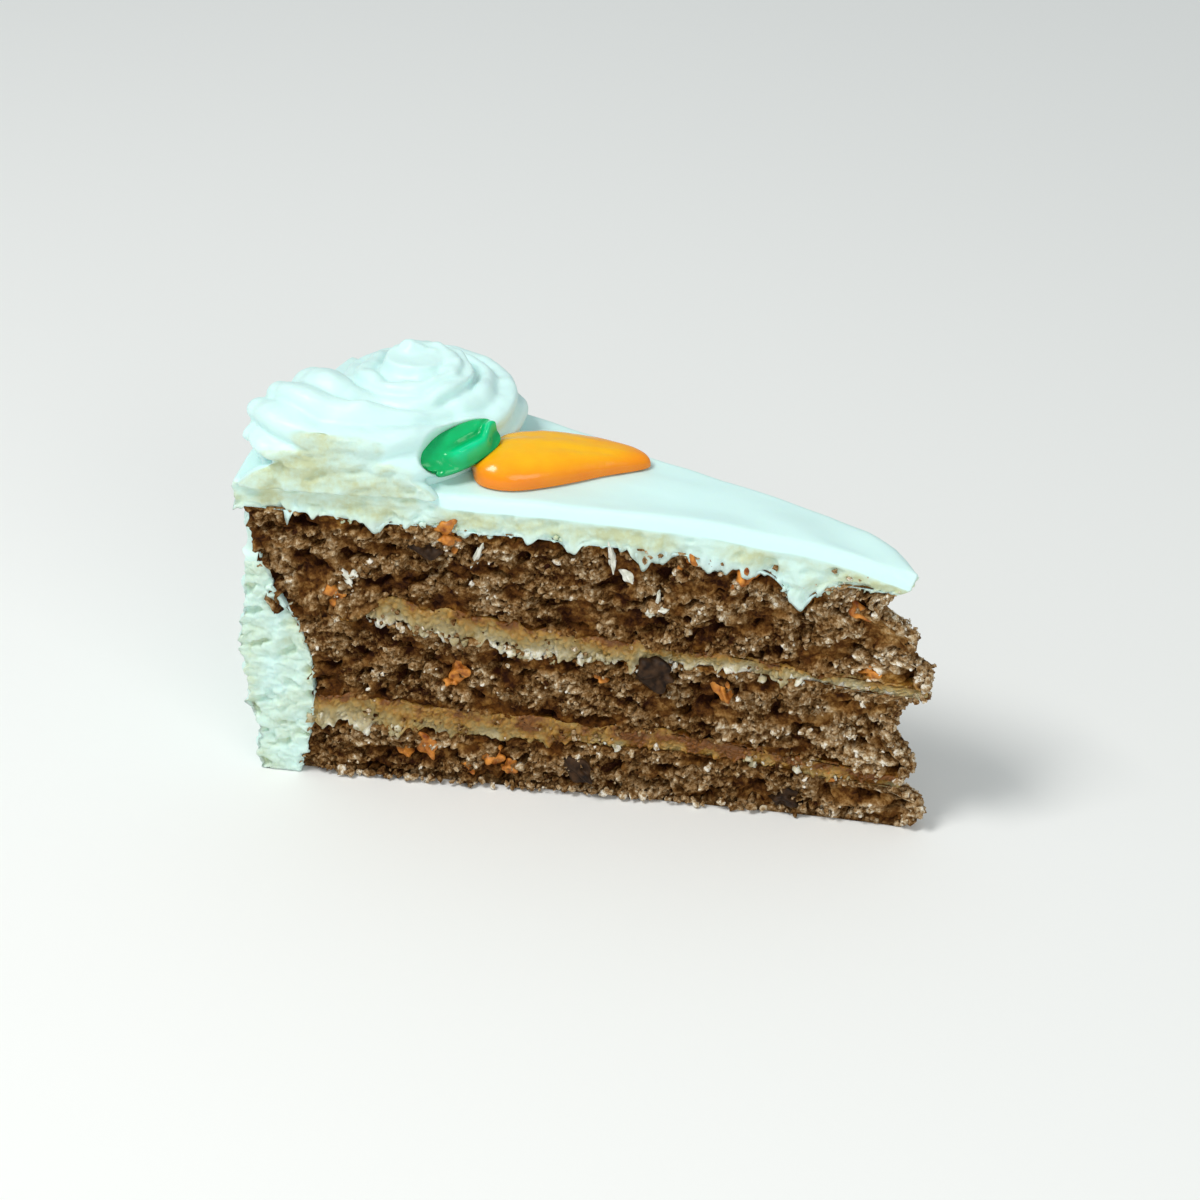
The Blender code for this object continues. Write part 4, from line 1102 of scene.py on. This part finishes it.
# %% Shape the leaf
def dress_leaf():
    piece = grid_block("green_leaf", (48,), (40,), (4,))
    u, v, w = vertex_places(piece).T
    s = 2.0 * u - 1.0
    end_width = 0.5 - 0.12 * s
    half_width = LEAF_WIDTH / 2 * (end_width + (1.0 - end_width) * np.sqrt(np.maximum(1.0 - s * s, 0.0)))
    # A roll of icing lies along the front, and its far end hooks back over the broad back lobe.
    roll_middle = -0.45 + 0.75 * smooth_step(0.45, 1.0, s)
    roll = LEAF_ROLL * np.exp(-(((v - roll_middle) / 0.34) ** 2)) * smooth_step(-0.55, -0.2, s)
    back = BACK_LOBE * np.maximum(1.0 - (v - 0.3) ** 2, 0.0)
    crease = np.exp(-(((v - roll_middle - 0.52) / 0.17) ** 2)) * smooth_step(-0.6, 0.1, s)
    crease = LEAF_CREASE * crease * smooth_step(1.0, 0.8, s)
    crest = 0.9 * np.exp(-(((s - 0.85) / 0.22) ** 2)) * np.exp(-(((v - 0.4) / 0.5) ** 2))
    # Small folds run across the ribbon, deeper at its ends.
    folds = 0.3 * noise_at(s * 4.0, v * 1.6, 2.0) * (0.3 + np.abs(s))
    torn = 0.9 * noise_at(v * 3.4, w, 6.0) * smooth_step(-0.7, -1.0, s)
    lobes = (roll + back) * (1.0 - 0.5 * s * s) - crease + crest + folds
    thickness = LEAF_THICKNESS * (1.0 - 0.5 * np.maximum(np.abs(s), np.abs(v)) ** 3)
    along = s * LEAF_LENGTH / 2 - LEAF_SKEW * v * (1.0 - s) / 2 + torn
    places = np.stack((along, v * half_width, (w - 0.5) * thickness + lobes * w), axis=-1)
    places = places @ np.array(LEAF_LAY.to_3x3()).T + np.array(LEAF_LAY.translation)
    move_vertices(piece, places * MM)
    # The top face and the raised lobes are painted lighter, the lower face and the creases darker: painted
    # light and shade.
    paint(piece, "painted_light", w * (0.2 + 0.6 * smooth_step(0.0, 2.4, lobes)))
    apply_modifier(piece, "SUBSURF", levels=1, render_levels=1)
    finish_piece(piece, green_finish, "piped_leaf")


dress_leaf()

# %% [markdown]
# ## What shows in the crumb
# Raisins, shreds of carrot and strands of coconut show in both cuts, and loose crumbs cling there too.
# Each kind is modelled once, and every copy gets its own place, turn and size in one joined mesh.


# %% Copy a small shape to many places
rng = np.random.default_rng(4)


def facing_cut(side, lean):
    """Turns a shape flat onto a cut, and leans it along the cut."""
    return Matrix.Rotation(side * SLICE_ANGLE / 2, 4, "Z") @ Matrix.Rotation(lean, 4, "Y")


def any_turn():
    return Matrix.Rotation(rng.uniform(0.0, math.tau), 4, Vector(rng.normal(size=3)))


def round_lump(subdivisions):
    select_nothing()
    bpy.ops.mesh.primitive_ico_sphere_add(subdivisions=subdivisions, radius=0.5)
    return bpy.context.object


def many_of(name, shape, copies, bend):
    """Joins bent copies of a shape. A copy is its place in metres, its turn and its size in millimetres."""
    corners = vertex_places(shape)
    faces = np.array([tuple(face.vertices) for face in shape.data.polygons])
    all_corners = []
    for number, (place, turn, size) in enumerate(copies):
        uneven = noise_at(corners[:, 0] * 2.4 + 17.0 * number, corners[:, 1] * 2.4, corners[:, 2] * 2.4)
        own = corners * (1.0 + bend * uneven)[:, None] * np.array(size) * MM
        placed = own @ np.array(turn.to_3x3()).T + np.array(place)
        placed[:, 2] = np.maximum(placed[:, 2], 0.0)
        all_corners.append(placed)
    all_faces = faces + (np.arange(len(copies)) * len(corners))[:, None, None]
    mesh = bpy.data.meshes.new(name)
    mesh.from_pydata(np.concatenate(all_corners).tolist(), [], all_faces.reshape(-1, 3).tolist())
    piece = bpy.data.objects.new(name, mesh)
    bpy.context.collection.objects.link(piece)
    bpy.data.objects.remove(shape)
    return piece


# %% Loose crumbs
CRUMBS_A_CUT = 2300
END_CRUMBS = 720
# The vertices of the small round lump that every crumb is made from.
CRUMB_CORNERS = 42


def on_filling(r, z, side):
    """True on a filling, or on the icing over the crumb."""
    found = z > face_height(CAKE_TOP, r, side) - 0.8
    for low, high in ((BOTTOM_TOP, LOWER_FILLING_TOP), (MIDDLE_TOP, UPPER_FILLING_TOP)):
        found |= (z > face_height(low, r, side) - 0.2) & (z < face_height(high, r, side) + 0.2)
    return found


def finish_crumbs(piece, tones):
    """Gives each crumb a tone of its own, and leaves it dry."""
    paint(piece, "tone_and_shade", np.repeat(tones, CRUMB_CORNERS))
    paint(piece, "soak", np.zeros(len(piece.data.vertices)))
    finish_piece(piece, crumb_finish, None)


def loose_crumbs(name, side):
    """Crumbs cling to a cut in clusters, more of them beside holes than in them."""
    tries = CRUMBS_A_CUT * 4
    r = rng.uniform(0.5, 117.0, tries)
    z = rng.uniform(0.3, 57.5, tries)
    clusters = noise_at(r / 4.0, z / 3.0, 20.0 * side + 211.0)
    out, tone_and_shade, inside = crumb_relief(r, z, side)
    keep = (clusters > -0.1) & (out > -1.3) & (inside < 0.55)
    keep &= ~on_filling(r, z, side) | (rng.random(tries) < 0.4)
    chosen = np.flatnonzero(keep)[:CRUMBS_A_CUT]
    widths = np.clip(0.45 * np.exp(rng.normal(0.2, 0.42, len(chosen))), 0.3, 1.5)
    places = on_wedge(r[chosen], side, z[chosen], out[chosen] + 0.15 * widths)
    copies = [
        (place, any_turn(), width * rng.uniform(0.7, 1.25, 3)) for place, width in zip(places, widths)
    ]
    piece = many_of(name, round_lump(2), copies, 0.9)
    # Each loose crumb takes the tone of the face under it, painted light and shade included, and a random
    # change.
    finish_crumbs(piece, np.clip(tone_and_shade[chosen] + rng.normal(0.04, 0.14, len(chosen)), 0.05, 0.95))


loose_crumbs("front_crumbs", -1.0)
loose_crumbs("back_crumbs", 1.0)


def end_crumbs(count):
    """Crumbs on the thin end of the slice, and along the broken edge at its base."""
    copies = []
    for number in range(count):
        on_end = number % 3 < 2
        side = rng.uniform(-1.0, 1.0) if on_end else rng.choice((-1.0, 1.0))
        r = np.array([rng.uniform(-0.4, 0.8) if on_end else rng.uniform(1.0, 118.0)])
        z = np.array([rng.uniform(0.6, 52.0) if on_end else rng.uniform(0.5, 1.8)])
        if on_end and on_filling(r, z, np.array([side]))[0] and rng.random() < 0.6:
            continue
        place = on_wedge(r, side, z, rng.uniform(-0.6, 0.5))[0]
        width = rng.uniform(0.6, 1.7)
        copies.append((place, any_turn(), width * rng.uniform(0.7, 1.3, 3)))
    piece = many_of("end_crumbs", round_lump(2), copies, 0.9)
    finish_crumbs(piece, rng.uniform(0.4, 0.8, len(copies)))


end_crumbs(END_CRUMBS)


# %% White grains at the lower edges of the fillings and of the icing
GRAIN_BAND = 0.12
ALL_ALONG = (1.0, 1.0, 1.0, 1.0, 1.0)


def edge_grains(name, kind, heights, shares, count, spread, widths, material):
    """Grains along a face on both cuts. shares says how many there are at WHITE_STATIONS."""
    copies = []
    while len(copies) < count:
        side = rng.choice((-1.0, 1.0))
        r = np.array([rng.uniform(2.0, 124.0)])
        crowd = 3.0 * noise_at(r / 4.5, side * 9.0, heights[-1])[0]
        if rng.random() > np.interp(r[0], WHITE_STATIONS, shares) * crowd:
            continue
        z = face_height(heights, r, np.array([side])) + rng.uniform(*spread)
        out, _, _ = crumb_relief(r, z, side)
        width = rng.uniform(*widths)
        place = on_wedge(r, side, z, np.maximum(out, -0.6) - 0.15)[0]
        copies.append((place, any_turn(), width * rng.uniform(0.7, 1.3, 3)))
    piece = many_of(name, round_lump(2), copies, 0.9)
    paint(piece, kind, np.full(len(piece.data.vertices), GRAIN_BAND if kind == "band" else 1.0))
    finish_piece(piece, material, None)


edge_grains("upper_filling_grains", "band", MIDDLE_TOP, UPPER_WHITE, count=90, spread=(-1.0, 0.9),
            widths=(0.5, 1.7), material=filling_finish)
edge_grains("lower_filling_grains", "band", BOTTOM_TOP, LOWER_WHITE, count=70, spread=(-0.6, 1.4),
            widths=(0.5, 1.7), material=filling_finish)
edge_grains("icing_grains", "cut", CAKE_TOP, ALL_ALONG, count=150, spread=(-1.2, 0.8),
            widths=(0.4, 1.2), material=icing_finish)

# %% [markdown]
# ## Raisins, carrot and coconut
# A raisin is a dark, wrinkled and slightly shiny lump. Carrot keeps its orange when baked and looks wet.
# Coconut is a stiff white strand with torn ends. All three are plain finishes with a little unevenness.

# %% Materials for the three
def small_finish(name, dark, light, size, roughness, gloss):
    """A finish whose colour wanders from dark to light in lumps of one size, in millimetres."""
    material, tree, shader, place = new_finish(name, {
        "IOR": 1.45, "Roughness": roughness, "Specular IOR Level": gloss,
    })
    mottle = add_node(tree, "ShaderNodeTexNoise", {"Vector": place, "Scale": 1 / (size * MM), "Detail": 4.0})
    colour = add_node(tree, "ShaderNodeValToRGB", {"Fac": mottle.outputs["Fac"]},
                      stops=((0.3, dark), (0.7, light)))
    tree.links.new(colour.outputs["Color"], shader.inputs["Base Color"])
    bump = add_node(tree, "ShaderNodeBump", {"Height": mottle.outputs["Fac"], "Strength": 0.5,
                                             "Distance": 0.4 * MM})
    tree.links.new(bump.outputs[0], shader.inputs["Normal"])
    return material


raisin_finish = small_finish("raisin_skin", "#120804", "#45301f", size=1.5, roughness=0.5, gloss=0.15)
carrot_finish = small_finish("baked_carrot", "#7c3a0c", "#e39640", size=1.5, roughness=0.4, gloss=0.3)
coconut_finish = small_finish("coconut", "#c4c4b2", "#f4f4ec", size=1.2, roughness=0.5, gloss=0.4)
print("made", raisin_finish.name, carrot_finish.name, coconut_finish.name)

# %% Place them in both cuts
# Distance from the tip, height and length, in millimetres.
RAISINS = ((94.0, 54.6, 6.4), (48.5, 30.6, 8.0), (23.8, 3.4, 5.8), (64.0, 6.2, 7.4))
CARROT_SHREDS = (
    (91.5, 59.5, 7.0), (112.5, 42.0, 5.0), (88.6, 26.0, 6.0), (95.0, 8.6, 6.2), (82.0, 6.8, 5.4),
    (42.6, 57.0, 5.0), (32.0, 53.4, 5.0), (7.6, 47.4, 5.6), (9.6, 34.6, 5.4), (36.0, 27.0, 4.8),
)
SMALL_SHREDS = (
    (90.6, 57.4, 3.6), (88.4, 55.6, 3.0), (78.6, 4.6, 3.4), (86.4, 4.0, 3.2), (90.0, 24.0, 2.6),
    (60.0, 27.4, 2.4), (30.6, 54.0, 2.6), (44.4, 54.6, 2.4), (14.6, 9.4, 3.0), (99.6, 6.4, 2.6),
)
COCONUT_STRANDS = ((84.0, 53.6, 6.4), (110.0, 46.4, 4.6), (48.6, 47.2, 3.2), (57.6, 55.2, 6.0))
COCONUT_BITS = ((47.6, 45.0, 2.2), (50.2, 43.8, 2.0), (108.6, 47.0, 2.4), (54.6, 51.6, 3.4))
BACK_FROM = 124.0
BACK_STRETCH = 0.9


def in_both_cuts(places, slimness, turn, sink, depth):
    """Places on the front cut as given, and on the back cut at other distances."""
    copies = []
    for number, (r, z, length) in enumerate(places):
        for side in (-1.0, 1.0):
            distance = r if side < 0 else BACK_FROM - BACK_STRETCH * r
            out, _, _ = crumb_relief(np.array([distance]), np.array([z]), np.array([side]))
            out = np.clip(out, -0.8, 1.0)
            place = on_wedge(np.array([distance]), np.array([side]), np.array([z]), out - sink)[0]
            lean = turn * (1 if number % 2 else -1) + 0.3 * math.sin(5.0 * number)
            size = (length, depth, length * slimness)
            copies.append((place, facing_cut(side, lean), size))
    return copies


# Name, places, width for its length, lean, how deep it sinks and how thick it is, bend, finish, slot.
inclusions = (
    ("raisins", RAISINS, 0.6, 0.3, (0.7, 3.8), 1.0, raisin_finish, "crumb"),
    ("carrot_shreds", CARROT_SHREDS, 0.6, 0.8, (1.0, 3.2), 1.1, carrot_finish, "crumb"),
    ("small_carrot_shreds", SMALL_SHREDS, 0.8, 0.5, (0.9, 2.8), 1.1, carrot_finish, "crumb"),
    ("coconut_strands", COCONUT_STRANDS, 0.2, 1.25, (0.0, 1.4), 0.8, coconut_finish, "icing"),
    ("coconut_bits", COCONUT_BITS, 0.6, 0.6, (0.0, 1.6), 0.9, coconut_finish, "icing"),
)
for name, places, slimness, turn, (sink, depth), bend, finish, slot in inclusions:
    piece = many_of(name, round_lump(4), in_both_cuts(places, slimness, turn, sink, depth), bend)
    finish_piece(piece, finish, None)

# %% [markdown]
# ## Camera, light and floor
# The camera looks at the front cut from the right and from above, as the photograph does, through a long
# lens. A large soft light high on the left shapes the icing, a weaker one on the right and a pale world
# fill the shadows, and the floor is a plain pale sheet.

# %% Set the camera
CAMERA_AZIMUTH = math.radians(20.932)
CAMERA_ELEVATION = math.radians(31.699)
CAMERA_DISTANCE = 713.5
CAMERA_TARGET = Vector((TIP_X - 64.397, 2.83, 35.931))
CAMERA_LENS = 108.0


def set_camera():
    back = Vector((
        math.sin(CAMERA_AZIMUTH) * math.cos(CAMERA_ELEVATION),
        -math.cos(CAMERA_AZIMUTH) * math.cos(CAMERA_ELEVATION),
        math.sin(CAMERA_ELEVATION),
    ))
    bpy.ops.object.camera_add(
        location=(CAMERA_TARGET + back * CAMERA_DISTANCE) * MM,
        rotation=(math.pi / 2 - CAMERA_ELEVATION, 0.0, CAMERA_AZIMUTH),
    )
    camera = bpy.context.object
    camera.data.lens = CAMERA_LENS
    camera.data.sensor_width = 36.0
    bpy.context.scene.camera = camera
    print("camera at", [round(value, 3) for value in camera.location])


set_camera()


# %% Light the slice
def area_light(name, place, target, size, power, colour):
    bpy.ops.object.light_add(type="AREA", location=place)
    light = bpy.context.object
    light.name = name
    light.data.size = size
    light.data.energy = power
    light.data.color = linear(colour)[:3]
    aim = Vector(target) - Vector(place)
    light.rotation_euler = aim.to_track_quat("-Z", "Y").to_euler()


area_light("key", (-0.3, -0.35, 0.8), (0.0, 0.0, 0.04), size=0.3, power=4.6, colour="#fffdf8")
area_light("fill", (0.6, -0.6, 0.4), (0.0, 0.0, 0.03), size=0.5, power=2.2, colour="#fffdf6")
world = bpy.data.worlds.new("pale_room")
bpy.context.scene.world = world
world.use_nodes = True
world.node_tree.nodes["Background"].inputs["Color"].default_value = linear("#eef5f6")
world.node_tree.nodes["Background"].inputs["Strength"].default_value = 0.5
bpy.context.scene.view_settings.view_transform = "Standard"

# %% Lay the floor
select_nothing()
bpy.ops.mesh.primitive_plane_add(size=6.0, location=(0.0, 0.0, -0.0002))
floor = bpy.context.object
floor.name = "floor"
paper = bpy.data.materials.new("pale_paper")
paper.use_nodes = True
paper.node_tree.nodes["Principled BSDF"].inputs["Base Color"].default_value = linear("#f4f5f5")
paper.node_tree.nodes["Principled BSDF"].inputs["Roughness"].default_value = 0.8
floor.data.materials.append(paper)
print("floor laid")
